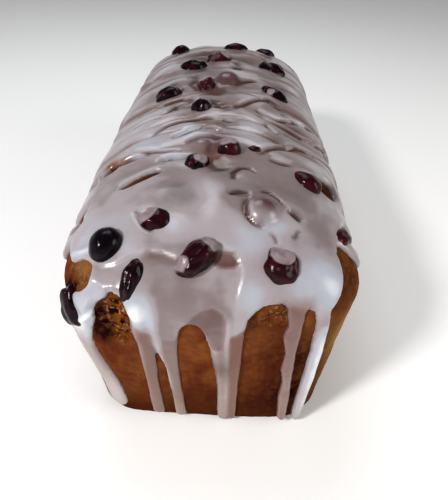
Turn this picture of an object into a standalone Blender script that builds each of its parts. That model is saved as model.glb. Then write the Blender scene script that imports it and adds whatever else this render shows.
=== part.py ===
"""A whole lemon loaf cake with dark cherries and a poured icing, in metres, +Z up.

The loaf rests on its flat base at z = 0, centred on the origin, with its long axis along Y.
The end at -Y is the front, where the icing runs down in long drips.
The loaf, the icing and each cherry are separate solids, a hair's breadth apart.
"""

import math
import random

import bmesh
import bpy
import numpy as np
from mathutils import Matrix, Vector, noise

MM = 0.001

# The loaf: a tapered tin shape with a domed top that bulges a little over its rim.
BASE_WIDTH = 96 * MM
BASE_LENGTH = 255 * MM
BASE_CORNER = 17 * MM
RIM_WIDTH = 110 * MM
RIM_LENGTH = 271 * MM
RIM_CORNER = 24 * MM
RIM_HEIGHT = 65 * MM
DOME_HEIGHT = 32 * MM
DOME_POWER_ACROSS = 2.5
DOME_POWER_ALONG = 4.8
END_BOW = 3.5 * MM
SIDE_BOW = 1.0 * MM
BASE_EDGE_RADIUS = 3 * MM
CRUST_SWELL = 1.0 * MM
CRUST_SWELL_SIZE = 34 * MM
# Rises of the crust at the front's corners: centre x, y, z, reach and height in millimetres.
CORNER_RISES = (
    (-51, -122, 46, 13, 1.6),
    (55, -112, 66, 15, 1.2),
)

# The torn corner, where the crumb shows under the icing's left edge.
CRAG_CENTRE = Vector((-32, -137, 63)) * MM
CRAG_REACH = Vector((10, 14, 13)) * MM
CRAG_DEPTH = 3.0 * MM
CRAG_GRAIN = 6 * MM
CRAG_FULLNESS = 1.6
CRAG_UNEVENNESS = 0.9
CRAG_SINK = 0.55

# The icing.
ICING_DEPTH = 2.0 * MM
ICING_LIP = 2.4 * MM
ICING_SINK = 2.5 * MM
ICING_FOOT = 1.5 * MM
ICING_SWELL = 0.35 * MM
ICING_SWELL_SIZE = 14 * MM
BARE_RAMP = 1.2 * MM
FILM_DEPTH = 1.5 * MM
FILM_FILLET = 1.0 * MM
GAP = 0.3 * MM
CHERRY_GAP = 0.4 * MM
# Stands for "no film over this point": far below any height of the icing.
NO_FILM = -1.0

# Height of the icing's lower edge, by place round the rim.
# Places are millimetres from the front's centre line, growing towards +X and on round the loaf.
FRONT_EDGE = (
    (-66, 75), (-58, 75), (-52, 77), (-44, 78), (-38, 76), (-33, 75), (-29, 73), (-27, 69),
    (-23, 60), (-17, 52), (-13, 56), (-10, 59), (-9, 64), (-6, 65.5), (-3, 65), (0, 61),
    (2, 57), (9, 57), (12, 61), (13.5, 68), (16, 71), (19, 73), (24, 73.5), (31, 73),
    (35, 71), (38, 70), (42, 70), (47, 73), (54, 77), (60, 80), (66, 80),
)
# The front edge gives way to the sides' edge from this place on, within this distance.
FRONT_EDGE_END = 62 * MM
FRONT_EDGE_BLEND = 12 * MM
# Drips on the front, from the top down: place, height and half width in millimetres.
FRONT_DRIPS = (
    ((-37, 80, 6), (-42.5, 68, 6), (-45.7, 60, 5.8), (-48.4, 50, 6.1), (-47, 42, 5.8),
     (-44.6, 34, 5.8), (-41.8, 23, 6.5), (-39.4, 11, 6.0)),
    ((-24, 66, 3.6), (-21.4, 56, 3.1), (-21.2, 45, 2.8), (-20.9, 30, 2.4), (-20, 5, 2.6)),
    ((-14.5, 60, 4.6), (-13.9, 49, 3.6), (-12.9, 41, 2.5), (-11.8, 24, 2.2), (-10.6, 4, 2.3)),
    ((7, 66, 6.2), (7.2, 56, 5.6), (7.7, 44, 5.2), (8.3, 29, 4.2), (8.6, 4, 3.9)),
    ((0.5, 64, 2.2), (3.2, 54, 1.9), (4.6, 42, 1.6)),
    ((29.8, 74, 3.6), (29.9, 66, 2.4), (29.4, 60, 3.1), (30.2, 50, 2.0), (30.2, 40, 2.5),
     (31, 32, 1.8), (31.2, 22, 2.5), (32, 5, 2.1)),
    ((38.8, 74, 2.8), (39, 66, 2.4), (40.1, 50, 2.4), (40.2, 35, 2.4), (39.4, 4, 2.2)),
)
# The rest of the edge: lobes that hang over the shoulder, some of which run on as drips.
SIDE_EDGE = 79 * MM
SIDE_WAVE = 3 * MM
SIDE_WAVE_LENGTH = 78 * MM
SIDE_WAVE_PHASE = 1.3
FIRST_LOBE = 74 * MM
LOBE_PITCH = 21 * MM
LOBE_PITCH_RANGE = (0.7, 1.3)
LOBE_HALF_WIDTH = 7 * MM
LOBE_HALF_WIDTH_RANGE = (0.75, 1.25)
LOBE_TOP = 83 * MM
LOBE_LOW = 76 * MM
LOBE_LOWEST = 66 * MM
SIDE_DRIP_CHANCE = 0.4
SIDE_DRIP_END = (6 * MM, 52 * MM)
SIDE_DRIP_HALF_WIDTH = (2.0 * MM, 3.0 * MM)
SIDE_DRIP_LEAN = 4 * MM
SIDE_DRIP_FLARE = 1.4
EDGE_SEED = 11
# Fillets where one drip meets the next, and round a bare spot.
DRIP_FILLET = 1.6 * MM
SPOT_FILLET = 2.0 * MM

# Drizzled strands that lie across the dome behind the merged front.
STRAND_START = -86 * MM
STRAND_END = 128 * MM
STRAND_GROWTH = 0.9
STRAND_PITCH = 12.5 * MM
STRAND_PITCH_RANGE = (0.72, 1.35)
STRAND_HALF_WIDTH = 6.2 * MM
STRAND_HALF_WIDTH_RANGE = (0.85, 1.25)
STRAND_CREST = 0.45
STRAND_TAIL = 1.3
STRAND_RISE = 1.9 * MM
STRAND_RISE_RANGE = (0.8, 1.15)
STRAND_SWELL = 0.9
STRAND_SWELL_SIZE = 17 * MM
STRAND_DRIFT = 6 * MM
STRAND_DRIFT_SIZE = 26 * MM
STRAND_BOW_SPAN = 42 * MM
STRAND_BOW = (9 * MM, 15 * MM)
STRAND_RIPPLE = 1.0 * MM
STRAND_RIPPLE_SIZE = 11 * MM
STRAND_FILLET = 0.25 * MM
STRAND_BLEND = 8 * MM
STRAND_BED = 0.6 * MM
STRAND_SEED = 29557
SHOULDER_LOW = 72 * MM
SHOULDER_HIGH = 90 * MM

# Thicker pools: centre x, y and half sizes x, y in plan, then the extra depth, in millimetres.
POOLS = (
    (0, -110, 6, 13, 1.1),
    (13, -119, 9, 6, 0.9),
    (36, -128, 11, 7, 1.5),
    (-20, -101, 12, 6, 0.8),
    (-42, -113, 8, 6, 0.9),
    (-24, -136, 4, 4, 1.2),
    (26, -104, 8, 6, 0.9),
)
# Bare spots of crust: centre x, y, z and radius, in millimetres.
BARE_SPOTS = (
    (-45, -127, 75, 5.5),
    (-33, -137, 66, 6.5),
    (46, -79, 86, 6.0),
    (-51, -103, 79, 3.5),
    (52.5, -101.5, 77, 4.5),
)

# Cherries: centre x, y on the loaf, then length, width and height, turn about the surface's
# normal in degrees (0 lies along +X), how far it stands out of the loaf, how far it has slid
# down, and whether the icing runs over it. Lengths are in millimetres.
CHERRIES = (
    (-35, -121, 13, 11, 11, 60, 7.5, 0, False),
    (-4, -127, 16, 9.5, 10, 48, 7.5, 0, False),
    (24, -127, 13, 12, 9, -70, 6.0, 0, False),
    (-20, -113, 13, 10, 9, -20, 5.0, 0, False),
    (18, -107.5, 11, 11, 9, 10, 4.0, 0, True),
    (36, -84, 13, 10, 9, -35, 5.5, 0, False),
    (5.2, -73.5, 9.5, 9, 11, 15, 8.0, 0, False),
    (-7, -83.5, 10.5, 9, 9, 75, 6.0, 0, False),
    (-8.5, -29, 10, 11, 12, 5, 8.0, 0, False),
    (-27, -4, 15, 11, 11, 20, 7.0, 0, False),
    (-8, 5, 15, 9.5, 12, 85, 7.5, 0, False),
    (2.8, 13, 13, 13, 11, 30, 6.2, 0, True),
    (-18, 42, 17, 12, 11, 8, 6.8, 0, False),
    (-3, 57, 18, 14, 12, 30, 7.6, 0, False),
    (7, 96, 18, 11, 11, 0, 6.5, 0, False),
    (-30, 92, 14, 12, 12, 30, 7.5, 0, False),
    (27, 95, 15, 11, 11, -15, 6.2, 0, False),
    (29, 50, 18, 13, 12, -25, 7.6, 0, False),
    (27, 0, 17, 10.5, 12, -40, 7.6, 0, False),
    (-25.2, -132, 15, 7, 8, 77, 4.5, 0, False),
    (-50, -129, 17, 9, 10, -80, 4.5, 3.5, False),
    (48, -106, 14, 8, 8, 50, 3.8, 0, False),
    (-14, 117, 13, 10, 9, 60, 4.5, 0, False),
    (18, 126, 12, 10, 9, 15, 4.5, 0, False),
    (-44, 30, 12, 9, 8, 80, 3.2, 0, True),
    (43, 84, 12, 10, 8, -60, 4.0, 0, False),
    (15, -69.5, 7.5, 6, 7, 20, 3.6, 0, False),
)
CHERRY_DENT = 0.14
CHERRY_DENT_PLACE = 0.25
CHERRY_DENT_WIDTH = 0.35
CHERRY_LUMP = 0.15
CHERRY_LUMP_SCALE = 1.7
CHERRY_BLUNT = 0.08
CHERRY_NOISE_STEP = 3.7

# Seeds of the noises, and how far apart they lie in the noise's space.
CRUST_NOISE = 1
CRAG_NOISE = 2
ICING_NOISE = 3
STRAND_NOISE = 8
DRIFT_NOISE = 9
NOISE_STEP = (7.3, 3.1, 5.7)

# Cell sizes of the working meshes, and the triangles they are thinned to before and after
# the pieces are cut from each other.
LOAF_CELL = 3.2 * MM
LOAF_TRIM = 4 * MM
ICING_CELL = 1.7 * MM
LOAF_TRIANGLES = 1300
LOAF_FINAL_TRIANGLES = 3200
ICING_TRIANGLES = 3600
ICING_FINAL_TRIANGLES = 8200
WELD = 0.02 * MM

# Colour, roughness and coat of each finish, and the angle in degrees past which an edge is sharp.
CRUST_FINISH = ((0.19, 0.065, 0.018), 0.75, 0.0)
ICING_FINISH = ((0.46, 0.42, 0.44), 0.25, 0.5)
CHERRY_FINISH = ((0.03, 0.004, 0.006), 0.2, 0.6)
CRUST_SHARP_ANGLE = 50
WET_SHARP_ANGLE = 60


# ---------------------------------------------------------------- the loaf's surface


def smooth_max(first, second, width):
    """The larger of two fields, with a fillet of the given width where they cross."""
    share = np.clip(0.5 + 0.5 * (first - second) / width, 0, 1)
    return second + (first - second) * share + width * share * (1 - share)


def smooth_min(first, second, width):
    return -smooth_max(-first, -second, width)


def plan_size(level):
    """Half width, half length and corner radius of the plan, from base (0) to rim (1)."""
    height = np.asarray(RIM_HEIGHT * level)
    drop = np.clip(BASE_EDGE_RADIUS - height, 0, BASE_EDGE_RADIUS)
    inset = BASE_EDGE_RADIUS - np.sqrt(BASE_EDGE_RADIUS**2 - drop**2)
    half_width = (BASE_WIDTH + (RIM_WIDTH - BASE_WIDTH) * level) / 2 - inset
    half_length = (BASE_LENGTH + (RIM_LENGTH - BASE_LENGTH) * level) / 2 - inset
    corner = BASE_CORNER + (RIM_CORNER - BASE_CORNER) * level
    return half_width, half_length, corner


def plan_point(across, along, level):
    """X and Y of a place given by -1..1 across and along, with round corners and bowed sides."""
    half_width, half_length, corner = plan_size(level)
    x, y = np.abs(across) * half_width, np.abs(along) * half_length
    in_x = np.clip((x - (half_width - corner)) / corner, 0, 1)
    in_y = np.clip((y - (half_length - corner)) / corner, 0, 1)
    x = np.where(in_x > 0, half_width - corner + corner * in_x * np.sqrt(1 - in_y**2 / 2), x)
    y = np.where(in_y > 0, half_length - corner + corner * in_y * np.sqrt(1 - in_x**2 / 2), y)
    share_x, share_y = x / half_width, y / half_length
    bowed_x = x + SIDE_BOW * share_x**3 * (1 - share_y**2)
    bowed_y = y + END_BOW * share_y**3 * (1 - share_x**2)
    return np.sign(across) * bowed_x, np.sign(along) * bowed_y


def dome_height(across, along):
    ridge = np.clip(1 - np.abs(across) ** DOME_POWER_ACROSS, 0, 1)
    ends = np.clip(1 - np.abs(along) ** DOME_POWER_ALONG, 0, 1)
    return RIM_HEIGHT + DOME_HEIGHT * np.sqrt(ridge * ends)


def even_steps(half_size, power, cell):
    """Places from -1 to 1 that cut the dome's profile into steps of about one cell."""
    place = np.sin(np.linspace(-math.pi / 2, math.pi / 2, 4001))
    rise = DOME_HEIGHT * np.sqrt(np.clip(1 - np.abs(place) ** power, 0, 1))
    steps = np.hypot(np.diff(place * half_size), np.diff(rise))
    run = np.concatenate([[0], np.cumsum(steps)])
    count = max(4, round(run[-1] / cell))
    return np.interp(np.linspace(0, run[-1], count + 1), run, place)


def loaf_grid(cell, lowest):
    """Points and quads of the loaf, left open: the dome's grid, then rings down to `lowest`."""
    across = even_steps(RIM_WIDTH / 2, DOME_POWER_ACROSS, cell)
    along = even_steps(RIM_LENGTH / 2, DOME_POWER_ALONG, cell)
    columns, rows = len(across), len(along)
    grid_x, grid_y = np.meshgrid(across, along)
    x, y = plan_point(grid_x, grid_y, 1.0)
    points = [np.stack([x, y, dome_height(grid_x, grid_y)], axis=-1).reshape(-1, 3)]
    index = np.arange(rows * columns).reshape(rows, columns)
    quads = [quads_between(index[:-1], index[1:])]

    rim = np.concatenate(
        [index[0, :-1], index[:-1, -1], index[-1, :0:-1], index[:0:-1, 0]]
    )
    rim_x, rim_y = grid_x.reshape(-1)[rim], grid_y.reshape(-1)[rim]
    ring_above = rim
    count = rows * columns
    drops = round((RIM_HEIGHT - lowest) / cell)
    for height in np.linspace(RIM_HEIGHT, lowest, drops + 1)[1:]:
        level = max(height, 0.0) / RIM_HEIGHT
        x, y = plan_point(rim_x, rim_y, level)
        points.append(np.stack([x, y, np.full(len(x), height)], axis=-1))
        ring = count + np.arange(len(rim))
        quads.append(quads_between(closed_row(ring), closed_row(ring_above)))
        ring_above = ring
        count += len(rim)
    return np.concatenate(points), np.concatenate(quads), ring_above


def closed_row(ring):
    return np.append(ring, ring[0])[None]


def quads_between(lower, upper):
    """Quads between rows of point numbers, facing out where the rows run anticlockwise."""
    corners = [lower[:, :-1], lower[:, 1:], upper[:, 1:], upper[:, :-1]]
    return np.stack([corner.reshape(-1) for corner in corners], axis=-1)


def outward(points, quads):
    """A unit normal for each point of an open grid."""
    corners = points[quads]
    face = np.cross(corners[:, 2] - corners[:, 0], corners[:, 3] - corners[:, 1])
    total = np.zeros_like(points)
    for corner in range(4):
        np.add.at(total, quads[:, corner], face)
    return total / np.linalg.norm(total, axis=1, keepdims=True)


def noise_at(points, size, seed):
    """Smooth noise of about -1 to 1 whose features have the given size."""
    shift = Vector(NOISE_STEP) * seed
    return np.array([noise.noise(Vector(point) / size + shift) for point in points])


def crag_share(points):
    """1 in the middle of the torn corner, falling to 0 at its border."""
    away = (points - np.array(CRAG_CENTRE)) / np.array(CRAG_REACH)
    return np.clip(CRAG_FULLNESS * (1 - np.sum(away**2, axis=1)), 0, 1)


def loaf_relief(points):
    """How far the crust stands out from the plain form."""
    swell = CRUST_SWELL * noise_at(points, CRUST_SWELL_SIZE, CRUST_NOISE)
    torn = CRAG_DEPTH * (CRAG_UNEVENNESS * noise_at(points, CRAG_GRAIN, CRAG_NOISE) - CRAG_SINK)
    relief = swell + crag_share(points) * torn
    for x, y, z, reach, height in CORNER_RISES:
        away = np.linalg.norm(points - np.array((x, y, z)) * MM, axis=1) / (reach * MM)
        relief += height * MM * np.exp(-(away**2))
    return relief


# ---------------------------------------------------------------- the icing's fields


def around(points):
    """Place round the rim, from the front's centre line: + towards +X, - towards -X."""
    core_x = (RIM_WIDTH / 2) - RIM_CORNER
    core_y = (RIM_LENGTH / 2) - RIM_CORNER
    x, y = np.abs(points[:, 0]), points[:, 1]
    out_x, out_y = np.maximum(x - core_x, 0), np.maximum(np.abs(y) - core_y, 0)
    turn = np.arctan2(out_x, np.maximum(out_y, 1e-9))
    quarter = RIM_CORNER * math.pi / 2
    inner = (out_x == 0) & (out_y == 0)
    nearer_end = inner & (core_y - np.abs(y) < core_x - x)
    turn = np.where(inner, np.where(nearer_end, 0, math.pi / 2), turn)
    front = np.minimum(x, core_x) + RIM_CORNER * turn
    side = core_x + quarter + np.clip(y + core_y, 0, 2 * core_y)
    back = core_x + 2 * quarter + 2 * core_y - RIM_CORNER * turn + core_x - np.minimum(x, core_x)
    on_side = (out_y == 0) & ~nearer_end
    place = np.where(on_side, side, np.where(y < 0, front, back))
    return place * np.where(points[:, 0] < 0, -1, 1)


def edge_length():
    """Length of the rim's outline."""
    straight = 2 * (RIM_WIDTH + RIM_LENGTH) - 8 * RIM_CORNER
    return straight + 2 * math.pi * RIM_CORNER


def edge_height(place):
    """Height of the icing's lower edge at a place round the rim."""
    knots = np.array(FRONT_EDGE) * MM
    front = np.interp(place, knots[:, 0], knots[:, 1])
    turns = place / SIDE_WAVE_LENGTH
    side = SIDE_EDGE + SIDE_WAVE * np.cos(2 * math.pi * turns + SIDE_WAVE_PHASE)
    share = np.clip((np.abs(place) - FRONT_EDGE_END) / FRONT_EDGE_BLEND, 0, 1)
    return front * (1 - share) + side * share


def side_drips():
    """Lobes of the sides and the back, and the drips that some of them feed."""
    draw = random.Random(EDGE_SEED)
    half_round = edge_length() / 2
    drips = []
    for side in (-1, 1):
        place = FIRST_LOBE
        while place < half_round:
            low = LOBE_LOW + (LOBE_LOWEST - LOBE_LOW) * draw.random() ** 2
            half = LOBE_HALF_WIDTH * draw.uniform(*LOBE_HALF_WIDTH_RANGE)
            drips.append(((side * place, LOBE_TOP, half), (side * place, low, half)))
            if draw.random() < SIDE_DRIP_CHANCE and place > FIRST_LOBE + LOBE_PITCH:
                lean = draw.uniform(-SIDE_DRIP_LEAN, SIDE_DRIP_LEAN)
                end = draw.uniform(*SIDE_DRIP_END)
                width = draw.uniform(*SIDE_DRIP_HALF_WIDTH)
                drips.append(
                    ((side * place, low, width * SIDE_DRIP_FLARE), (side * place + lean, end, width))
                )
            place += LOBE_PITCH * draw.uniform(*LOBE_PITCH_RANGE)
    return drips


def all_drips():
    """Every drip as points of place, height and half width in metres."""
    front = [[tuple(value * MM for value in spot) for spot in drip] for drip in FRONT_DRIPS]
    return front + side_drips()


def drip_cover(place, height, drip):
    """How far inside a drip each point lies."""
    cover = np.full(len(place), -np.inf)
    for (start_place, start_height, wide), (end_place, end_height, narrow) in zip(drip, drip[1:]):
        run = np.array([end_place - start_place, end_height - start_height])
        away = np.stack([place - start_place, height - start_height], axis=-1)
        share = np.clip(away @ run / (run @ run), 0, 1)
        half_width = wide + (narrow - wide) * share
        cover = np.maximum(cover, half_width - np.linalg.norm(away - share[:, None] * run, axis=1))
    return cover


def icing_cover(points):
    """How far each point lies inside the icing's outline; below 0 the crust is bare."""
    place, height = around(points), points[:, 2]
    cover = height - edge_height(place)
    for drip in all_drips():
        cover = smooth_max(cover, drip_cover(place, height, drip), DRIP_FILLET)
    for x, y, z, radius in BARE_SPOTS:
        away = np.linalg.norm(points - np.array((x, y, z)) * MM, axis=1)
        cover = smooth_min(cover, away - radius * MM, SPOT_FILLET)
    return cover


def strand_rise(points):
    """Height that the drizzled strands add on the dome: each is steep in front, gentle behind."""
    draw = random.Random(STRAND_SEED)
    x, y = points[:, 0], points[:, 1]
    sideways = np.clip(np.abs(x) / STRAND_BOW_SPAN, 0, 1)
    sweep = sideways**2 * (3 - 2 * sideways)
    drift = STRAND_DRIFT * noise_at(points, STRAND_DRIFT_SIZE, DRIFT_NOISE)
    swell = 1 + STRAND_SWELL * noise_at(points, STRAND_SWELL_SIZE, STRAND_NOISE)
    rise = np.zeros(len(points))
    centre = STRAND_START
    while centre < STRAND_END:
        growth = 1 + STRAND_GROWTH * (centre - STRAND_START) / (STRAND_END - STRAND_START)
        bow = draw.uniform(*STRAND_BOW) * sweep
        phase = draw.uniform(0, 2 * math.pi)
        ripple = STRAND_RIPPLE * np.sin(x / STRAND_RIPPLE_SIZE + phase)
        half = growth * STRAND_HALF_WIDTH * draw.uniform(*STRAND_HALF_WIDTH_RANGE)
        away = (y + drift - (centre - bow + ripple)) / half + STRAND_CREST
        slope = np.where(away < 0, away / (1 - STRAND_CREST), away / (STRAND_TAIL + STRAND_CREST))
        height = STRAND_RISE * draw.uniform(*STRAND_RISE_RANGE) * swell
        top = height * np.sqrt(np.clip(1 - slope**2, 0, 1))
        rise = smooth_max(rise, top, STRAND_FILLET)
        centre += growth * STRAND_PITCH * draw.uniform(*STRAND_PITCH_RANGE)
    return rise


def icing_depth(points):
    """Full depth of the icing, away from its edge."""
    depth = np.full(len(points), ICING_DEPTH)
    behind = np.clip((points[:, 1] - STRAND_START) / STRAND_BLEND, 0, 1)
    on_top = np.clip((points[:, 2] - SHOULDER_LOW) / (SHOULDER_HIGH - SHOULDER_LOW), 0, 1)
    depth += behind * on_top * (strand_rise(points) - STRAND_BED)
    for x, y, half_x, half_y, extra in POOLS:
        away = ((points[:, 0] - x * MM) / (half_x * MM)) ** 2
        away += ((points[:, 1] - y * MM) / (half_y * MM)) ** 2
        depth += extra * MM * np.exp(-away)
    return depth + ICING_SWELL * noise_at(points, ICING_SWELL_SIZE, ICING_NOISE)


def film_height(points, normals, cherry):
    """Height above the loaf at which the icing passes over a cherry, or far below it."""
    spin = np.array(cherry["matrix"].to_3x3().normalized())
    radii = np.array(cherry["radii"]) + FILM_DEPTH
    start = (points - np.array(cherry["matrix"].translation)) @ spin / radii
    ray = normals @ spin / radii
    a = np.sum(ray**2, axis=1)
    b = np.sum(ray * start, axis=1)
    inside = b**2 - a * (np.sum(start**2, axis=1) - 1)
    top = (-b + np.sqrt(np.maximum(inside, 0))) / a
    return np.where(inside > 0, top, NO_FILM)


def icing_height(points, normals, cherries):
    """Signed height of the icing's outer face above the loaf. It dips inside where bare."""
    cover = icing_cover(points)
    depth = icing_depth(points)
    for cherry in cherries:
        if cherry["iced"]:
            film = film_height(points, normals, cherry)
            depth = np.where(film > NO_FILM, smooth_max(depth, film, FILM_FILLET), depth)
    share = np.clip(cover / ICING_LIP, 0, 1)
    lip = np.sqrt(1 - (1 - share) ** 2)
    bare = -ICING_SINK * np.clip(-cover / BARE_RAMP, 0, 1)
    return np.where(cover > 0, depth * lip, bare)


# ---------------------------------------------------------------- meshes and objects


def material(name, colour, roughness, coat):
    made = bpy.data.materials.new(name)
    made.use_nodes = True
    shader = made.node_tree.nodes["Principled BSDF"]
    shader.inputs["Base Color"].default_value = (*colour, 1)
    shader.inputs["Roughness"].default_value = roughness
    shader.inputs["Metallic"].default_value = 0
    shader.inputs["Coat Weight"].default_value = coat
    return made


def add_object(name, mesh):
    made = bpy.data.objects.new(name, mesh)
    bpy.context.scene.collection.objects.link(made)
    return made


def closed_mesh(name, points, quads, last_ring):
    """A closed mesh from an open grid, whose last ring is capped by one flat face."""
    mesh = bpy.data.meshes.new(name)
    mesh.from_pydata(points.tolist(), [], quads.tolist() + [last_ring[::-1].tolist()])
    return mesh


def thin(made, triangles):
    """Leaves about the given number of triangles, closest where the form curves most."""
    count = sum(len(face.vertices) - 2 for face in made.data.polygons)
    decimate = made.modifiers.new("Thin", "DECIMATE")
    decimate.ratio = min(1.0, triangles / count)
    apply_modifiers(made)


def apply_modifiers(made):
    """Replaces the object's mesh by the one its modifiers give."""
    graph = bpy.context.evaluated_depsgraph_get()
    mesh = bpy.data.meshes.new_from_object(made.evaluated_get(graph))
    made.modifiers.clear()
    made.data = mesh


def subtract(made, cutters):
    """Cuts each cutter from the object and drops the scraps this leaves."""
    group = bpy.data.collections.new("Cutters")
    bpy.context.scene.collection.children.link(group)
    for cutter in cutters:
        group.objects.link(cutter)
    cut = made.modifiers.new("Cut", "BOOLEAN")
    cut.operation = "DIFFERENCE"
    cut.operand_type = "COLLECTION"
    cut.collection = group
    cut.solver = "EXACT"
    apply_modifiers(made)
    bpy.data.collections.remove(group)
    keep_largest_body(made.data)


def keep_largest_body(mesh):
    work = bmesh.new()
    work.from_mesh(mesh)
    bmesh.ops.remove_doubles(work, verts=work.verts, dist=WELD)
    bmesh.ops.dissolve_degenerate(work, edges=work.edges, dist=WELD)
    unseen = set(work.faces)
    bodies = []
    while unseen:
        body = [unseen.pop()]
        for face in body:
            for edge in face.edges:
                for other in edge.link_faces:
                    if other in unseen:
                        unseen.remove(other)
                        body.append(other)
        bodies.append(body)
    bodies.sort(key=lambda body: sum(face.calc_area() for face in body))
    scraps = [face for body in bodies[:-1] for face in body]
    bmesh.ops.delete(work, geom=scraps, context="FACES")
    bmesh.ops.triangulate(work, faces=work.faces)
    work.to_mesh(mesh)
    work.free()


def grown_copy(made, distance):
    """A copy whose faces stand off by the given distance, for use as a cutter."""
    mesh = made.data.copy()
    normals = [vertex.normal.copy() for vertex in mesh.vertices]
    for vertex, normal in zip(mesh.vertices, normals):
        vertex.co = vertex.co + normal * distance
    grown = add_object(made.name + "_grown", mesh)
    grown.matrix_world = made.matrix_world.copy()
    grown.hide_render = True
    grown.display_type = "WIRE"
    return grown


def cut_flat_base(mesh):
    """Cuts the loaf off at z = 0 with one flat face."""
    work = bmesh.new()
    work.from_mesh(mesh)
    everything = work.verts[:] + work.edges[:] + work.faces[:]
    up = Vector((0, 0, 1))
    cut = bmesh.ops.bisect_plane(
        work, geom=everything, plane_co=Vector(), plane_no=up, clear_inner=True
    )
    rim = [item for item in cut["geom_cut"] if isinstance(item, bmesh.types.BMEdge)]
    bmesh.ops.contextual_create(work, geom=rim)
    bmesh.ops.recalc_face_normals(work, faces=work.faces)
    work.to_mesh(mesh)
    work.free()


def finish_solid(made, surface, angle):
    made.data.materials.clear()
    made.data.materials.append(surface)
    made.data.shade_smooth()
    made.data.set_sharp_from_angle(angle=math.radians(angle))


# ---------------------------------------------------------------- the cake's pieces


def surface_frame(x, y):
    """The dome's point at plan x, y, with its normal."""
    across, along = x / (RIM_WIDTH / 2), y / (RIM_LENGTH / 2)
    for _ in range(20):
        found_x, found_y = plan_point(across, along, 1.0)
        across = float(np.clip(across + (x - found_x) / (RIM_WIDTH / 2), -0.995, 0.995))
        along = float(np.clip(along + (y - found_y) / (RIM_LENGTH / 2), -0.995, 0.995))
    step = 1e-3

    def spot(across, along):
        found_x, found_y = plan_point(across, along, 1.0)
        return Vector((float(found_x), float(found_y), float(dome_height(across, along))))

    point = spot(across, along)
    over = spot(across + step, along) - spot(across - step, along)
    up = spot(across, along + step) - spot(across, along - step)
    return point, over.cross(up).normalized()


def cherry_plan(row):
    """Where a cherry lies: its matrix and its three radii."""
    x, y, length, width, height, turn, out, slid, iced = row
    point, normal = surface_frame(x * MM, y * MM)
    along = Vector((1, 0, 0)) - normal * normal.x
    if along.length < 0.2:
        along = Vector((0, 1, 0)) - normal * normal.y
    along.normalize()
    side = normal.cross(along)
    turned = Matrix((along, side, normal)).transposed().to_4x4()
    centre = point + (normal * (out - height / 2) - Vector((0, 0, slid))) * MM
    matrix = Matrix.Translation(centre) @ turned @ Matrix.Rotation(math.radians(turn), 4, "Z")
    radii = (length / 2 * MM, width / 2 * MM, height / 2 * MM)
    return {"matrix": matrix, "radii": radii, "iced": iced}


def make_cherry(number, plan):
    """A stoned cherry: an uneven egg with a dent along its upper side."""
    work = bmesh.new()
    bmesh.ops.create_icosphere(work, subdivisions=2, radius=1)
    shift = Vector((number * CHERRY_NOISE_STEP, 0, 0))
    for vertex in work.verts:
        place = vertex.co.copy()
        lump = 1 + CHERRY_LUMP * noise.noise(place * CHERRY_LUMP_SCALE + shift)
        valley = math.exp(-(((place.y - CHERRY_DENT_PLACE) / CHERRY_DENT_WIDTH) ** 2))
        dent = CHERRY_DENT * valley * max(place.z, 0)
        blunt = 1 + CHERRY_BLUNT * place.x
        place.y *= blunt
        place.z *= blunt * (1 - dent)
        vertex.co = Vector([value * radius for value, radius in zip(place * lump, plan["radii"])])
    mesh = bpy.data.meshes.new(f"cherry_{number:02d}")
    work.to_mesh(mesh)
    work.free()
    made = add_object(f"cherry_{number:02d}", mesh)
    made.matrix_world = plan["matrix"]
    return made


def make_loaf_core():
    points, quads, last_ring = loaf_grid(LOAF_CELL, -LOAF_TRIM)
    normals = outward(points, quads)
    points = points + normals * loaf_relief(points)[:, None]
    core = add_object("loaf", closed_mesh("loaf", points, quads, last_ring))
    thin(core, LOAF_TRIANGLES)
    cut_flat_base(core.data)
    return core


def make_icing(cherry_plans):
    """The icing as a full shell over the loaf, before the loaf and the cherries are cut away."""
    points, quads, last_ring = loaf_grid(ICING_CELL, ICING_FOOT)
    normals = outward(points, quads)
    height = loaf_relief(points) + icing_height(points, normals, cherry_plans)
    points = points + normals * height[:, None]
    shell = add_object("icing", closed_mesh("icing", points, quads, last_ring))
    thin(shell, ICING_TRIANGLES)
    return shell


def main():
    for old in list(bpy.data.objects):
        bpy.data.objects.remove(old, do_unlink=True)
    crust = material("crust", *CRUST_FINISH)
    glaze = material("icing", *ICING_FINISH)
    fruit = material("cherry", *CHERRY_FINISH)

    plans = [cherry_plan(row) for row in CHERRIES]
    loaf = make_loaf_core()
    icing = make_icing(plans)
    cherries = [make_cherry(number, plan) for number, plan in enumerate(plans, start=1)]
    bpy.context.view_layer.update()

    loaf_cutter = grown_copy(loaf, GAP)
    cherry_cutters = [grown_copy(cherry, CHERRY_GAP) for cherry in cherries]
    bpy.context.view_layer.update()
    subtract(icing, [loaf_cutter] + cherry_cutters)
    subtract(loaf, cherry_cutters)
    thin(icing, ICING_FINAL_TRIANGLES)
    thin(loaf, LOAF_FINAL_TRIANGLES)
    for cutter in [loaf_cutter] + cherry_cutters:
        bpy.data.objects.remove(cutter, do_unlink=True)

    finish_solid(loaf, crust, CRUST_SHARP_ANGLE)
    finish_solid(icing, glaze, WET_SHARP_ANGLE)
    for cherry in cherries:
        finish_solid(cherry, fruit, WET_SHARP_ANGLE)


main()
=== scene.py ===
import math
import random

import bmesh
import bpy
import numpy as np
from mathutils import Matrix, Vector, noise


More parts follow.
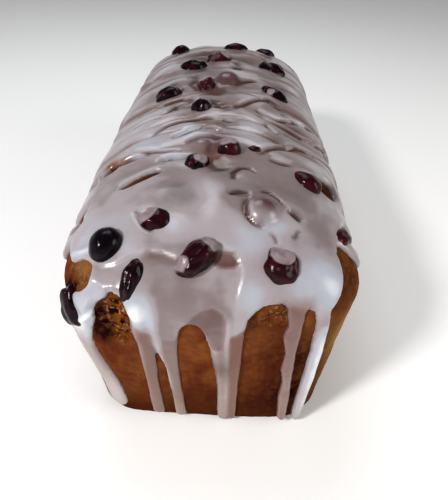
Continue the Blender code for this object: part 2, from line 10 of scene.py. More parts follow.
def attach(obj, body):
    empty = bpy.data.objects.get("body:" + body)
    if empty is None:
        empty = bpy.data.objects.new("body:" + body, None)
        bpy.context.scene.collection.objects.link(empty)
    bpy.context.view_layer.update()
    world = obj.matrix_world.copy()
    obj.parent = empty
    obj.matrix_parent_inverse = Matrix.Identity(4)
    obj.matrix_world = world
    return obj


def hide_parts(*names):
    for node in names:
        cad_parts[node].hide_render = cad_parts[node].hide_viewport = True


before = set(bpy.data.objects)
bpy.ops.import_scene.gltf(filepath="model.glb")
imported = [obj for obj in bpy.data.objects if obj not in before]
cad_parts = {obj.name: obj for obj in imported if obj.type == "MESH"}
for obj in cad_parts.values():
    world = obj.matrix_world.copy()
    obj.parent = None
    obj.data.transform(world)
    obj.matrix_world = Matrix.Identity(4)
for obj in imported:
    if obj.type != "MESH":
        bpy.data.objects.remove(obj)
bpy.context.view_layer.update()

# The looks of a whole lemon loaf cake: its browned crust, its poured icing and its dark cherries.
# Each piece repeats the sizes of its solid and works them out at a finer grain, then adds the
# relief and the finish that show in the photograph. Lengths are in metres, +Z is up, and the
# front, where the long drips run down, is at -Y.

MM = 0.001

# ---------------------------------------------------------------- sizes shared with the solids

# The plan at the base and at the rim, and the dome above the rim.
BASE_WIDTH = 96 * MM
BASE_LENGTH = 255 * MM
BASE_CORNER = 17 * MM
RIM_WIDTH = 110 * MM
RIM_LENGTH = 271 * MM
RIM_CORNER = 24 * MM
RIM_HEIGHT = 65 * MM
DOME_HEIGHT = 32 * MM
DOME_POWER_ACROSS = 2.5
DOME_POWER_ALONG = 4.8
END_BOW = 3.5 * MM
SIDE_BOW = 1.0 * MM
BASE_EDGE_RADIUS = 3 * MM
CRUST_SWELL = 1.0 * MM
CRUST_SWELL_SIZE = 34 * MM
# Rises of the crust at the front's corners: centre x, y, z, reach and height in millimetres.
CORNER_RISES = (
    (-51, -122, 46, 13, 1.6), (55, -112, 66, 15, 1.2),
)
# The torn corner: an ellipsoid in which the crust is sunk and uneven.
CRAG_CENTRE = Vector((-32, -137, 63)) * MM
CRAG_REACH = Vector((10, 14, 13)) * MM
CRAG_DEPTH = 3.0 * MM
CRAG_GRAIN = 6 * MM
CRAG_FULLNESS = 1.6
CRAG_UNEVENNESS = 0.9
CRAG_SINK = 0.55

# The icing's depth, the width of its round lip, and its film over a cherry.
ICING_DEPTH = 2.0 * MM
ICING_LIP = 2.4 * MM
ICING_FOOT = 1.5 * MM
ICING_SWELL = 0.35 * MM
ICING_SWELL_SIZE = 14 * MM
FILM_DEPTH = 1.5 * MM
FILM_FILLET = 1.0 * MM
NO_FILM = -1.0
LEAST_DEPTH = 0.25 * MM

# Height of the icing's lower edge, by place round the rim, in millimetres. Places run from the
# front's centre line, growing towards +X and on round the loaf.
FRONT_EDGE = (
    (-66, 75), (-58, 75), (-52, 77), (-44, 78), (-38, 76), (-33, 75), (-29, 73), (-27, 69),
    (-23, 60), (-17, 52), (-13, 56), (-10, 59), (-9, 64), (-6, 65.5), (-3, 65), (0, 61),
    (2, 57), (9, 57), (12, 61), (13.5, 68), (16, 71), (19, 73), (24, 73.5), (31, 73),
    (35, 71), (38, 70), (42, 70), (47, 73), (54, 77), (60, 80), (66, 80),
)
FRONT_EDGE_END = 62 * MM
FRONT_EDGE_BLEND = 12 * MM
# Drips on the front, from the top down: place, height and half width in millimetres.
FRONT_DRIPS = (
    ((-37, 80, 6), (-42.5, 68, 6), (-45.7, 60, 5.8), (-48.4, 50, 6.1), (-47, 42, 5.8),
     (-44.6, 34, 5.8), (-41.8, 23, 6.5), (-39.4, 11, 6.0)),
    ((-24, 66, 3.6), (-21.4, 56, 3.1), (-21.2, 45, 2.8), (-20.9, 30, 2.4), (-20, 5, 2.6)),
    ((-14.5, 60, 4.6), (-13.9, 49, 3.6), (-12.9, 41, 2.5), (-11.8, 24, 2.2), (-10.6, 4, 2.3)),
    ((7, 66, 6.2), (7.2, 56, 5.6), (7.7, 44, 5.2), (8.3, 29, 4.2), (8.6, 4, 3.9)),
    ((0.5, 64, 2.2), (3.2, 54, 1.9), (4.6, 42, 1.6)),
    ((29.8, 74, 3.6), (29.9, 66, 2.4), (29.4, 60, 3.1), (30.2, 50, 2.0), (30.2, 40, 2.5),
     (31, 32, 1.8), (31.2, 22, 2.5), (32, 5, 2.1)),
    ((38.8, 74, 2.8), (39, 66, 2.4), (40.1, 50, 2.4), (40.2, 35, 2.4), (39.4, 4, 2.2)),
)
# The lower edge of the sides and the back: a wave with lobes, and drips under some of them.
SIDE_EDGE = 79 * MM
SIDE_WAVE = 3 * MM
SIDE_WAVE_LENGTH = 78 * MM
SIDE_WAVE_PHASE = 1.3
FIRST_LOBE = 74 * MM
LOBE_PITCH = 21 * MM
LOBE_PITCH_RANGE = (0.7, 1.3)
LOBE_HALF_WIDTH = 7 * MM
LOBE_HALF_WIDTH_RANGE = (0.75, 1.25)
LOBE_TOP = 83 * MM
LOBE_LOW = 76 * MM
LOBE_LOWEST = 66 * MM
SIDE_DRIP_CHANCE = 0.4
SIDE_DRIP_END = (6 * MM, 52 * MM)
SIDE_DRIP_HALF_WIDTH = (2.0 * MM, 3.0 * MM)
SIDE_DRIP_LEAN = 4 * MM
SIDE_DRIP_FLARE = 1.4
EDGE_SEED = 11
DRIP_FILLET = 1.6 * MM
SPOT_FILLET = 2.0 * MM

# Strands drizzled across the dome, one behind the other. They grow towards the back.
STRAND_START = -86 * MM
STRAND_END = 128 * MM
STRAND_GROWTH = 0.9
STRAND_PITCH = 12.5 * MM
STRAND_PITCH_RANGE = (0.72, 1.35)
STRAND_HALF_WIDTH = 6.2 * MM
STRAND_HALF_WIDTH_RANGE = (0.85, 1.25)
STRAND_CREST = 0.45
STRAND_TAIL = 1.3
STRAND_RISE = 1.9 * MM
STRAND_RISE_RANGE = (0.8, 1.15)
STRAND_SWELL = 0.9
STRAND_SWELL_SIZE = 17 * MM
STRAND_DRIFT = 6 * MM
STRAND_DRIFT_SIZE = 26 * MM
STRAND_BOW_SPAN = 42 * MM
STRAND_BOW = (9 * MM, 15 * MM)
STRAND_RIPPLE = 1.0 * MM
STRAND_RIPPLE_SIZE = 11 * MM
STRAND_FILLET = 0.25 * MM
STRAND_BLEND = 8 * MM
STRAND_BED = 0.6 * MM
STRAND_SEED = 29557
SHOULDER_LOW = 72 * MM
SHOULDER_HIGH = 90 * MM

# Thicker pools: centre x, y and half sizes x, y in plan, then the extra depth, in millimetres.
POOLS = (
    (0, -110, 6, 13, 1.1), (13, -119, 9, 6, 0.9), (36, -128, 11, 7, 1.5), (-20, -101, 12, 6, 0.8),
    (-42, -113, 8, 6, 0.9), (-24, -136, 4, 4, 1.2), (26, -104, 8, 6, 0.9),
)
# Bare spots of crust: centre x, y, z and radius, in millimetres.
BARE_SPOTS = (
    (-45, -127, 75, 5.5), (-33, -137, 66, 6.5), (46, -79, 86, 6.0), (-51, -103, 79, 3.5),
    (52.5, -101.5, 77, 4.5),
)

# Cherries: centre x, y on the loaf, then length, width and height, turn about the surface's
# normal in degrees (0 lies along +X), how far it stands out of the loaf, how far it has slid
# down, and whether the icing runs over it. Lengths are in millimetres.
CHERRIES = (
    (-35, -121, 13, 11, 11, 60, 7.5, 0, False),
    (-4, -127, 16, 9.5, 10, 48, 7.5, 0, False),
    (24, -127, 13, 12, 9, -70, 6.0, 0, False),
    (-20, -113, 13, 10, 9, -20, 5.0, 0, False),
    (18, -107.5, 11, 11, 9, 10, 4.0, 0, True),
    (36, -84, 13, 10, 9, -35, 5.5, 0, False),
    (5.2, -73.5, 9.5, 9, 11, 15, 8.0, 0, False),
    (-7, -83.5, 10.5, 9, 9, 75, 6.0, 0, False),
    (-8.5, -29, 10, 11, 12, 5, 8.0, 0, False),
    (-27, -4, 15, 11, 11, 20, 7.0, 0, False),
    (-8, 5, 15, 9.5, 12, 85, 7.5, 0, False),
    (2.8, 13, 13, 13, 11, 30, 6.2, 0, True),
    (-18, 42, 17, 12, 11, 8, 6.8, 0, False),
    (-3, 57, 18, 14, 12, 30, 7.6, 0, False),
    (7, 96, 18, 11, 11, 0, 6.5, 0, False),
    (-30, 92, 14, 12, 12, 30, 7.5, 0, False),
    (27, 95, 15, 11, 11, -15, 6.2, 0, False),
    (29, 50, 18, 13, 12, -25, 7.6, 0, False),
    (27, 0, 17, 10.5, 12, -40, 7.6, 0, False),
    (-25.2, -132, 15, 7, 8, 77, 4.5, 0, False),
    (-50, -129, 17, 9, 10, -80, 4.5, 3.5, False),
    (48, -106, 14, 8, 8, 50, 3.8, 0, False),
    (-14, 117, 13, 10, 9, 60, 4.5, 0, False),
    (18, 126, 12, 10, 9, 15, 4.5, 0, False),
    (-44, 30, 12, 9, 8, 80, 3.2, 0, True),
    (43, 84, 12, 10, 8, -60, 4.0, 0, False),
    (15, -69.5, 7.5, 6, 7, 20, 3.6, 0, False),
)
# An uneven cherry's form, for a radius of 1.
CHERRY_DENT = 0.14
CHERRY_DENT_PLACE = 0.25
CHERRY_DENT_WIDTH = 0.35
CHERRY_LUMP = 0.15
CHERRY_LUMP_SCALE = 1.7
CHERRY_BLUNT = 0.08
CHERRY_NOISE_STEP = 3.7

# Seeds of the noises, and how far apart they lie in the noise's space.
CRUST_NOISE = 1
CRAG_NOISE = 2
ICING_NOISE = 3
ROLL_NOISE = 5
GRAIN_NOISE = 6
CRUMB_NOISE = 7
STRAND_NOISE = 8
DRIFT_NOISE = 9
NOISE_STEP = (7.3, 3.1, 5.7)

# ---------------------------------------------------------------- sizes that only the looks have

# Cells of the icing's mesh and of the crust's: along the front, along the back, and across.
ICING_CELL_FRONT = 0.78 * MM
ICING_CELL_BACK = 1.15 * MM
ICING_CELL_ACROSS = 0.85 * MM
ICING_CELL_GROWS = -85 * MM
CRUST_CELL = 0.68 * MM
CRUST_CELL_FRONT = 1.3 * CRUST_CELL
CRUST_CELL_BACK = 2.0 * MM
CRUST_CELL_GROWS = -110 * MM
CRUST_CELL_BLEND = 40 * MM
PROFILE_SAMPLES = 8001
TINY = 1e-9
# Farther outside its outline than this the icing has no mesh.
FAR_OUTSIDE = -2 * MM
# The lip is cut along these depths inside the outline, so that its round edge is even.
LIP_CUTS = (0.0, 0.35 * MM, 1.0 * MM)
CUT_CLEARANCE = 0.09 * MM
ICING_UNDERSIDE = 0.35 * MM
ICING_MOST_TRIANGLES = 190000
CRUST_MOST_TRIANGLES = 190000
# How strictly thinning keeps to the points that it is given.
THIN_STRICTNESS = 1000

# Slits between strands, where the crust shows: points x, y in plan and half width, in millimetres.
SLITS = (
    (((-35, -94), (-30.6, -91.3), (-25, -88), (-20.5, -86.2)), 2.4),
    (((-21.5, -80), (-17, -78.8), (-13, -78.8), (-8.5, -77.6)), 1.1),
    (((-46.5, -74.5), (-43, -73), (-39, -72.6)), 2.8),
    (((-39, -73.6), (-33.7, -73.4), (-28, -72.3)), 1.1),
    (((-18.5, -61), (-13.7, -57.5), (-9.3, -53.3), (-6.5, -50.5)), 1.1),
    (((-4, -52.7), (-0.4, -53.7), (3, -57)), 0.9),
    (((39, -44), (44, -42), (51, -31)), 1.1),
    (((30, -25), (35.5, -27.5), (41, -28)), 0.7),
)
# Creases that don't reach the crust: points x, y in plan, half width, depth and the height of the
# raised edge behind, in millimetres.
CREASES = (
    (((-28.2, -57), (-22.6, -48.5), (-17.6, -45), (-11.8, -43.2), (-5.5, -40.5), (0.9, -42.3),
      (7, -46.3)), 1.3, 1.7, 0.5),
    (((-38.5, -42.4), (-35, -40.2), (-30.4, -39), (-25.6, -39.2)), 1.0, 1.6, 0.5),
    (((-39.9, -23.1), (-36.5, -22.1), (-33.6, -20.9), (-29.9, -18.2)), 1.1, 1.5, 0.5),
    (((-30, -18.5), (-25.5, -16.6), (-20.5, -15.6), (-12.8, -18.3)), 2.0, 1.7, 0),
    (((-21, 3.2), (-15.7, 0.4), (-10.3, -1.5)), 1.8, 1.6, 0),
    (((5.4, -27.9), (9.7, -23.1), (15.2, -17.4), (19.9, -14), (24.2, -10.1), (30.3, -14)),
     1.5, 1.6, 0.3),
    (((6.5, 6.9), (12.5, 10), (18.1, 13.9)), 1.6, 1.4, 0),
    (((17.1, -25.1), (21.7, -29.6), (26.9, -34.2), (32.9, -32.7), (39.5, -28.3), (47.9, -23.3)),
     1.2, 1.8, 0.5),
    (((20.5, -43), (23.7, -47.9), (26.5, -51)), 0.9, 1.6, 0.5),
    (((16.2, -73), (21.3, -68.8), (26.7, -64.5), (32.4, -59.6), (37.4, -59.7), (43.3, -58.8),
      (51.8, -55)), 1.3, 1.8, 0.5),
    (((-1, -62), (-1.4, -72), (-1.4, -79.4), (0, -84.4), (2.1, -89)), 3.0, 1.3, 0),
    (((-13, -66), (-7.3, -62.5), (-1, -63)), 1.3, 1.5, 0.5),
    (((-34, -69.5), (-27.5, -70.6), (-20.8, -73.4), (-14, -72.8)), 0.9, 1.4, 0.5),
    (((-26, -35), (-20, -24.5), (-12, -18.5)), 1.3, 1.3, 0),
    (((5, -35), (1, -27), (-3, -20), (-8, -18)), 3.2, 1.1, 0),
    (((17, -34), (20.1, -35.6), (29.7, -41.6), (38, -46)), 1.2, 1.7, 0.5),
    (((21, -76), (26, -77.5), (30, -77.5)), 1.1, 1.3, 0.5),
    (((7.1, -93.7), (7, -89.2), (9.7, -85.6), (13.6, -85), (15.9, -88)), 0.9, 1.0, 0),
    (((-27, -108.5), (-24.6, -112.1), (-22, -115.7), (-19.5, -118)), 0.9, 1.3, 0.5),
    (((13.4, -102.8), (11.9, -105), (11.7, -108.5), (12.6, -111.5), (14.4, -113.8), (18.2, -115.6)),
     0.8, 1.7, 0),
    (((5, -101.5), (9, -100.3), (13, -100.8)), 1.1, 1.4, 0),
    (((17, -98), (20.5, -98.6), (23.5, -101.4), (25.8, -105.5)), 0.6, 1.0, 0),
    (((26.8, -105.2), (29.6, -107), (32, -108.8)), 1.2, 2.0, 0),
    (((20, -116.4), (21.7, -118.2), (22.6, -120.8)), 0.9, 0.8, 0),
    (((30.4, -113), (29.6, -115.4), (27.8, -117.6)), 0.9, 0.7, 0),
    (((-16, 24), (-14, 12), (-15, -2)), 3.0, 1.2, 0),
    (((-1, 5), (-1, -4), (-4, -12)), 3.0, 1.2, 0),
    (((-12, 50), (-10, 64), (-14, 78)), 3.2, 1.2, 0),
    (((-3.5, -30), (0.5, -27), (4.5, -26), (8.5, -29)), 1.8, 1.6, 0.3),
    (((8, 34), (8, 46), (6, 52)), 3.0, 1.2, 0),
)
# Small bumps of the icing: centre x, y, z, reach and height, in millimetres.
BUMPS = (
    (-38, -130, 75.2, 1.9, 1.4), (-40.8, -128.2, 75.6, 1.4, 0.8), (-32.6, -133, 74, 2.0, 1.5),
    (-35.2, -131.2, 75, 1.3, 0.8), (-22.6, -136.8, 69.2, 2.0, 1.5), (11.4, -89.5, 96.4, 3.4, 0.6),
)
# The raised edge behind a slit or a crease: its height at a slit in millimetres, how far behind
# it lies, how wide it is, and how much whiter it is painted for each millimetre of its height, as a
# painted highlight along the edge.
SLIT_LIP = 0.5
LIP_PLACE = 2.0 * MM
LIP_WIDTH = 1.4 * MM
LIP_PAINTED_HIGHLIGHT = 0.8
SLIT_FILLET = 0.5 * MM

# Zones of thinner icing on the dome: corners x, y in plan, depth lost, width of the step at the
# border, how much less white the icing looks, partly thin icing and partly painted shade under the
# step of the thicker layer, and how far the crust shows through it. Lengths are in millimetres.
DOME_ZONES = (
    (((-47, -121), (-40, -125), (-35, -127.5), (-31, -127.5), (-28.5, -126.4), (-25, -124.8),
      (-20, -124.2), (-15, -125), (-10, -127), (-5, -124), (1, -120.5), (5.5, -123.3),
      (9.4, -126.4), (11.4, -129.7), (10.7, -133), (9.5, -136), (9, -150), (-60, -150)),
     0.6, 1.4, 0.0, 0.05),
    (((0, -125.6), (3, -124.4), (8.5, -124.8), (10.6, -127.2), (8.5, -128.8), (4.5, -129.2),
      (1, -128)), 0.4, 1.3, 0.60, 0.35),
    (((-19.5, -124.9), (-14, -125.8), (-9.5, -127.6), (-12, -128.6), (-17, -127.9),
      (-21, -126.6)), 0.1, 1.8, 0.20, 0.20),
    (((-42, -127), (-38, -130), (-36, -138), (-45, -139), (-50, -131)), 0.2, 3.0, 0.0, 0.15),
)
# The same on the front's face, where corners are place and height. They fade out at its top.
FACE_TOP = 76 * MM
FACE_FADE = 4 * MM
FACE_ZONES = (
    (((-8.5, 63), (-6.6, 66.5), (-4.6, 69), (-1.6, 71.3), (2, 72.3), (5.2, 70.6), (6.6, 67.5),
      (6.6, 60), (5.6, 54), (4, 53.5), (2, 54), (0, 60)), 0.7, 1.3, 0.08, 0.30),
    (((-26, 66), (-18.6, 60), (-17.2, 46), (-16.6, -12), (-28, -12)), 0.4, 4.0, 0.08, 0.70),
    (((-16, 58), (-15.6, 45), (-13.4, 32), (-12.2, -12), (-4, -12), (-8, 58)), 0.3, 2.6, 0.04,
     0.30),
    (((8.2, 60), (8.6, 44), (9.4, -12), (17, -12), (17, 58), (12, 64)), 0.4, 2.6, 0.60, 0.95),
    (((24, 76), (35, 75), (36, -12), (26, -12)), 0.4, 4.0, 0.22, 0.60),
    (((35, 68), (44, 68), (44, -12), (36, -12)), 0.0, 4.0, 0.0, 0.25),
)
# Ridges of thicker icing down the front's face: points of place and height, half width, height,
# and how much whiter the icing looks along it, from its thickness and a painted highlight on the
# ridge. Lengths are in millimetres.
FACE_RIDGES = (
    (((-20.6, 76), (-19.2, 72), (-17.9, 67), (-17, 57), (-16.8, 46), (-15.5, 38), (-13.8, 24)),
     1.5, 0.7, 0.36),
    (((-25.6, 70), (-24.5, 63), (-23.3, 52), (-23.3, 38), (-22.9, 22)), 1.2, 0.5, 0.12),
    (((0.4, 61), (1.6, 57), (3.8, 52), (4.8, 45), (5.4, 32), (5.8, 8)), 1.1, 0.6, 0.08),
    (((6.9, 70), (7.3, 62), (7.6, 46), (8.1, 26), (8.4, 6)), 1.4, 0.7, 0.12),
    (((39.4, 66), (39.8, 58), (40.1, 50), (40.2, 35), (39.4, 4)), 1.7, 0.4, 1.10),
    (((-32, 73.5), (-36.9, 67.3), (-41, 63.6), (-47, 57), (-53.5, 52.5)), 1.0, 0.8, 0.35),
    (((-60, 76.5), (-56, 78.2), (-52, 80), (-47, 81.5)), 0.8, 0.6, 0.7),
)

# Painted highlights along lines on the dome, such as the bright crescent beside cherry 5: points x,
# y in plan, half width and how much whiter.
PAINTED_HIGHLIGHT_LINES = (
    (((13.8, -104.3), (13.3, -107), (13.5, -110), (14.4, -112)), 0.7, 0.8),
    (((9, -93), (8.6, -89.5), (10.6, -87)), 0.7, 0.2),
)

# How thick and white the icing looks, with painted highlights and painted shade among the spots:
# centre x, y, z, reach and change, lengths in millimetres.
TINT_AND_LIGHT_SPOTS = (
    (-1, -103, 95, 6, 0.18), (0, -112, 92, 6, 0.16), (-12, -117, 90, 6, 0.36),
    (23.4, -113.6, 90, 5, 0.55), (14, -122, 87, 6, 0.3), (32, -132, 77, 9, 0.5),
    (42, -127, 77, 7, 0.24), (15, -135, 76, 6, 0.28), (-43, -118, 82, 7, 0.2),
    (-29, -111, 90, 8, 0.06), (-26, -124, 85, 5, 0.24), (-23, -138, 69, 5, 1.4),
    (-42, -134, 68, 9, 0.9), (-47, -130, 58, 9, 0.7), (-44, -131, 40, 12, 0.1),
    (-38, -132, 14, 11, 0.65), (6, -136, 42, 7, -0.8), (31, -135, 18, 4, 0.45),
    (-8, -105.5, 94, 7, -0.72), (-16, -106, 94, 6, -0.34), (-10, -95, 96, 8, -0.2),
    (12, -99, 95, 9, -0.36), (11, -107, 93, 5, -0.2), (28, -97, 93, 10, -0.32),
    (33, -106, 89, 10, -0.24), (44, -116, 84, 9, -0.2), (1, -84, 97, 7, -0.6),
    (1, -63, 98, 4, -0.6), (-11, -101, 95, 6, -0.4), (-20, -101, 95, 6, -0.3),
    (-27, -104, 94, 5, -0.25), (18, -107, 96, 6, -0.3), (32, -52, 95, 19, -0.45),
    (30, 6, 95, 18, -0.25), (16, 72, 97, 14, -0.4), (30, 40, 94, 12, -0.25),
    (6, -135, 74, 6, -0.08), (0, -48, 98, 9, -0.45), (24, -62, 97, 10, -0.25),
    (-14, -38, 98, 8, 0.16), (14, -52, 98, 9, 0.34), (-9, 0, 99, 8, -0.45), (-9, 30, 99, 8, -0.45),
    (2.8, 13, 97, 8, -0.8), (-12, 66, 98, 9, -0.45), (3, 76, 98, 8, -0.35),
    (9.7, -35, 98, 6, -0.3), (31.6, -30, 94, 6, -0.3), (7, 27, 98, 5, 0.35),
    (19.7, -44, 97, 6, 0.25), (-13.4, -40.7, 97, 5, -0.25), (31, -134.6, 29.7, 4, 0.35),
    (39, -114, 84, 6, -0.2), (-46.5, -130, 57, 6, 0.9), (-12, -27, 99, 7, -0.4),
    (3, -27, 99, 6, -0.4),
)
# Cherry juice on the crust, and painted shade in the torn corner beside the tongue, under the
# icing's lip and on the front's right, in the same form.
JUICE_AND_SHADE_SPOTS = (
    (-28, -91, 95, 7, 0.8), (-22, -79, 97, 6, 0.9), (-48, -130, 60, 7, 0.5),
    (-49, -126, 70, 5, 0.7), (-39, -135.5, 61, 4.5, 1.2), (-38, -136, 67, 3.5, 1.0),
    (-37.5, -135.5, 54, 3.5, 0.9), (-36, -135, 57, 4, 0.8), (-36.5, -134.5, 62, 3.5, 0.6),
    (-50, -125, 65, 4.5, 0.8), (-46, -127.5, 69, 3, 0.5), (50, -124, 73, 9, 0.55),
    (53, -110, 73, 9, 0.45), (49, -104, 80, 6, 0.8), (47, -79, 85, 8, 0.85),
    (16, -137, 66, 3.5, 0.6), (22, -137, 56, 10, 0.25), (35, -136, 46, 13, 0.8),
    (35, -134, 24, 11, 0.75), (25, -135, 16, 14, 0.45),
)
# Paler, golden places of the crust, and a painted warm bounce light on the right side wall, in the
# same form.
GOLDEN_AND_BOUNCE_SPOTS = (
    (56, -102, 56, 20, 0.9), (53, -122, 48, 14, 0.65), (51, -122, 20, 14, 0.2),
    (-46, -126, 76, 6, 0.45), (-28, -137, 67, 4, 0.4),
)
# Places where a cherry shows through the icing that covers it, and painted shade in hollows between
# cherries, in the same form.
FRUIT_AND_SHADE_SPOTS = (
    (2.8, 12, 97, 6, 1.15), (19, -107, 93, 4.5, 1.1), (16.8, -114.2, 90.5, 1.5, 1.0),
    (21, -107.5, 92.5, 4, 0.25), (29.6, -107, 91, 2.0, 0.9), (1, -63.5, 97, 8, 0.8),
    (-10.3, 31.5, 95.5, 4, 1.0), (-25.3, 8, 95, 3.5, 1.0), (-6, 8, 97, 9, 0.25),
    (3, -27, 97, 5, 0.35), (-8, 46, 97, 6, 0.65), (4, 45, 97, 5, 0.25), (-12, 58, 96, 7, 0.8),
    (10, 58, 97, 6, 0.4), (-8, -5, 97, 4, 0.5),
)
# Crumbly places of the crust besides the torn corner, in the same form.
CRUMBS = (
    (25, -137, 71, 4.5, 0.75), (18, -138, 68, 3.5, 0.45), (-48, -125, 72, 5, 0.75),
    (-42, -130, 74, 3, 0.5),
)
# Places where the crust shows through the icing, and painted shade in hollows and under strand
# edges, in the same form.
SHEER_AND_SHADE_SPOTS = (
    (0, -80, 98, 7, 0.35), (3, -27, 99, 6, 0.4), (-9, 0, 99, 7, 0.35), (0, -64, 97, 8, 0.3),
    (-44, -70, 85.2, 2, 0.9), (-42, -70, 86.2, 2, 0.6), (-40.4, -70.7, 87.3, 2, 0.6),
    (-38.6, -72.3, 88.5, 2, 0.6), (-36.5, -72.2, 89.6, 2, 0.6), (-34.5, -71.9, 90.6, 2, 0.5),
    (31.5, -134, 18.8, 5, 0.3), (31, -135.5, 40, 4, 0.15), (6.2, -138, 55, 4, 0.3),
    (10.6, -136, 33, 6, 0.2), (-25.4, -137.7, 60.3, 5, 0.35), (-2, -76, 98, 6, 0.45),
    (-4, 68, 98, 11, 0.65), (16, 74, 97, 13, 0.3), (-34, 30, 94, 7, 0.2), (17, -108, 94, 6, 0.32),
    (24, -93, 95, 6, 0.12), (49, -105, 81, 6, 0.45), (-25, -137, 53, 7, 0.45),
    (-14.5, -137, 50, 5, 0.45), (6, -136, 42, 7, 0.4),
)
# How much whiter thick icing looks, in front of the strands and among them, where the crests also
# get a painted highlight and the hollows painted shade; how much darker a crease is painted, as
# painted shade;
# how much duller it looks where it is thin and low on the cake; and the painted shade towards the
# rear.
TINT_PER_DEPTH = 1 / (7 * MM)
STRAND_TINT_PER_DEPTH = 1 / (3.1 * MM)
CREASE_PAINTED_SHADE = 0.60
THIN_DEPTH = 1.5 * MM
THIN_TINT = 0.45
LOW_TINT = 0.18
LOW_REACH = 50 * MM
REAR_PAINTED_SHADE = 0.30
REAR_START = -95 * MM
REAR_REACH = 110 * MM
# How far the crust shows through between two strands.
VALLEY_SHEER = 0.30

# Rolls, grain and pinholes of the crust.
CRUST_ROLL = 0.22 * MM
CRUST_ROLL_SIZE = 7 * MM
CRUST_GRAIN = 0.10 * MM
CRUST_GRAIN_SIZE = 2.2 * MM
PORE_SIZE = 6 * MM
PORE_RADIUS = 0.17
PORE_DEPTH = 0.5 * MM
# Each cell of the pinholes' pattern has a draw from 0 to 1, made from its centre with these
# numbers, and a cell with a low draw has no pinhole.
PORE_LEAST_DRAW = 0.45
PORE_HASH = (12.9, 78.2, 37.7)
PORE_HASH_GAIN = 43758.5
# The crumb of the torn places.
CRUMB_DEPTH = 2.0 * MM
CRUMB_SIZE = 3.2 * MM
CRUMB_SINK = 0.3

# Fine folds of the cherries: broad ones, and finer ones between them.
CHERRY_SUBDIVISIONS = 5
CHERRY_WRINKLE = 0.012
CHERRY_WRINKLE_SCALE = 1.6
CHERRY_FOLD = 0.7
CHERRY_FINE = 0.5
CHERRY_FINE_SCALE = 2.7
CHERRY_FOLD_SINK = 0.5
# The search for a cherry's place on the dome: its steps, and how near it comes to the rim.
PLACE_STEPS = 20
NEAR_RIM = 0.995
# Where the X axis laid on the dome is shorter than this, a cherry's turn starts at the Y axis.
SHORTEST_ALONG = 0.2

# Plump cherries, by number, and how uneven each is, where 1 is an uneven one.
PLUMP_CHERRIES = {1: 0.3, 4: 0.5, 6: 0.5, 7: 0.2, 9: 0.6, 15: 0.5, 16: 0.5}

# Films of icing on the cherries, by number, some of them painted glints (the lower one on cherry 2,
# those on 8 and 19): direction in which each lies and how far it reaches from there in degrees. Its
# border is soft, over an angle in radians, and wavy.
FILM_BORDER = 0.5
FILM_WAVE = 0.25
FILM_WAVE_SIZE = 2.5 * MM
CHERRY_FILMS_AND_GLINTS = {
    2: (((0.6, 0.5, 0.6), 30), ((-0.75, -0.6, 0.1), 24)),
    3: (((0.05, 0.1, 1.0), 50),),
    4: (((-0.7, 0.3, 0.6), 66),),
    7: (((-0.1, 0.5, 0.8), 60),),
    8: (((0.3, -0.1, 0.9), 38),),
    9: (((0.2, 0.6, 0.8), 56),),
    11: (((-0.4, 0.3, 0.9), 40),),
    14: (((0.6, 0, 0.8), 34),),
    18: (((-0.3, 0, 1.0), 14),),
    19: (((-0.3, -0.5, 0.8), 22),),
    26: (((0, 0, 1.0), 60),),
}

# How much redder than nearly black some of them are.
CHERRY_RED = {
    1: -0.35, 2: 0.15, 3: 0.2, 4: 0.15, 6: 0.25, 7: 0.2, 11: 0.4, 12: 0.8, 14: 0.3, 20: 0.05,
    22: 0.4, 27: 0.2,
}

# Colours in linear light. The icing's tones go from thin to thick, each with the whiteness at which
# it is reached. The whiteness also carries painted light, so the darkest tones serve as painted
# shade and the whitest as painted highlights.
ICING_TONES = (
    (-0.35, (0.05, 0.024, 0.020, 1)),
    (0.3, (0.21, 0.165, 0.17, 1)),
    (0.6, (0.34, 0.30, 0.32, 1)),
    (1.1, (0.41, 0.435, 0.50, 1)),
    (1.9, (0.80, 0.83, 0.88, 1)),
)
PAINTED_WARM_BOUNCE = (0.42, 0.29, 0.19, 1)
SHEER_AND_SHADE_TONE = (0.15, 0.042, 0.019, 1)
FRUIT_AND_SHADE_TONE = (0.075, 0.026, 0.036, 1)
DEEP_BROWN = (0.097, 0.021, 0.008, 1)
BROWN = (0.18, 0.055, 0.018, 1)
ORANGE_STREAK = (0.24, 0.068, 0.010, 1)
DARK_GRAIN = (0.055, 0.012, 0.005, 1)
BAKED_FOOT = (0.036, 0.008, 0.003, 1)
GOLDEN_AND_BOUNCE_TONE = (0.35, 0.20, 0.068, 1)
CRUMB_HOLE_SHADE = (0.014, 0.003, 0.002, 1)
CRUMB_BROWN = (0.17, 0.050, 0.010, 1)
PAINTED_CRUMB_GLINT = (0.43, 0.26, 0.125, 1)
JUICE_AND_SHADE_TONE = (0.014, 0.002, 0.003, 1)
DARK_SKIN = (0.003, 0.001, 0.003, 1)
RED_SKIN = (0.06, 0.004, 0.007, 1)
THIN_FILM = (0.12, 0.07, 0.085, 1)
CLOUDY_FILM = (0.33, 0.27, 0.29, 1)
THICK_FILM_AND_GLINT = (0.48, 0.44, 0.47, 1)
FLOOR_TONES = ((0.88, 0.88, 0.88, 1), (0.91, 0.91, 0.91, 1))

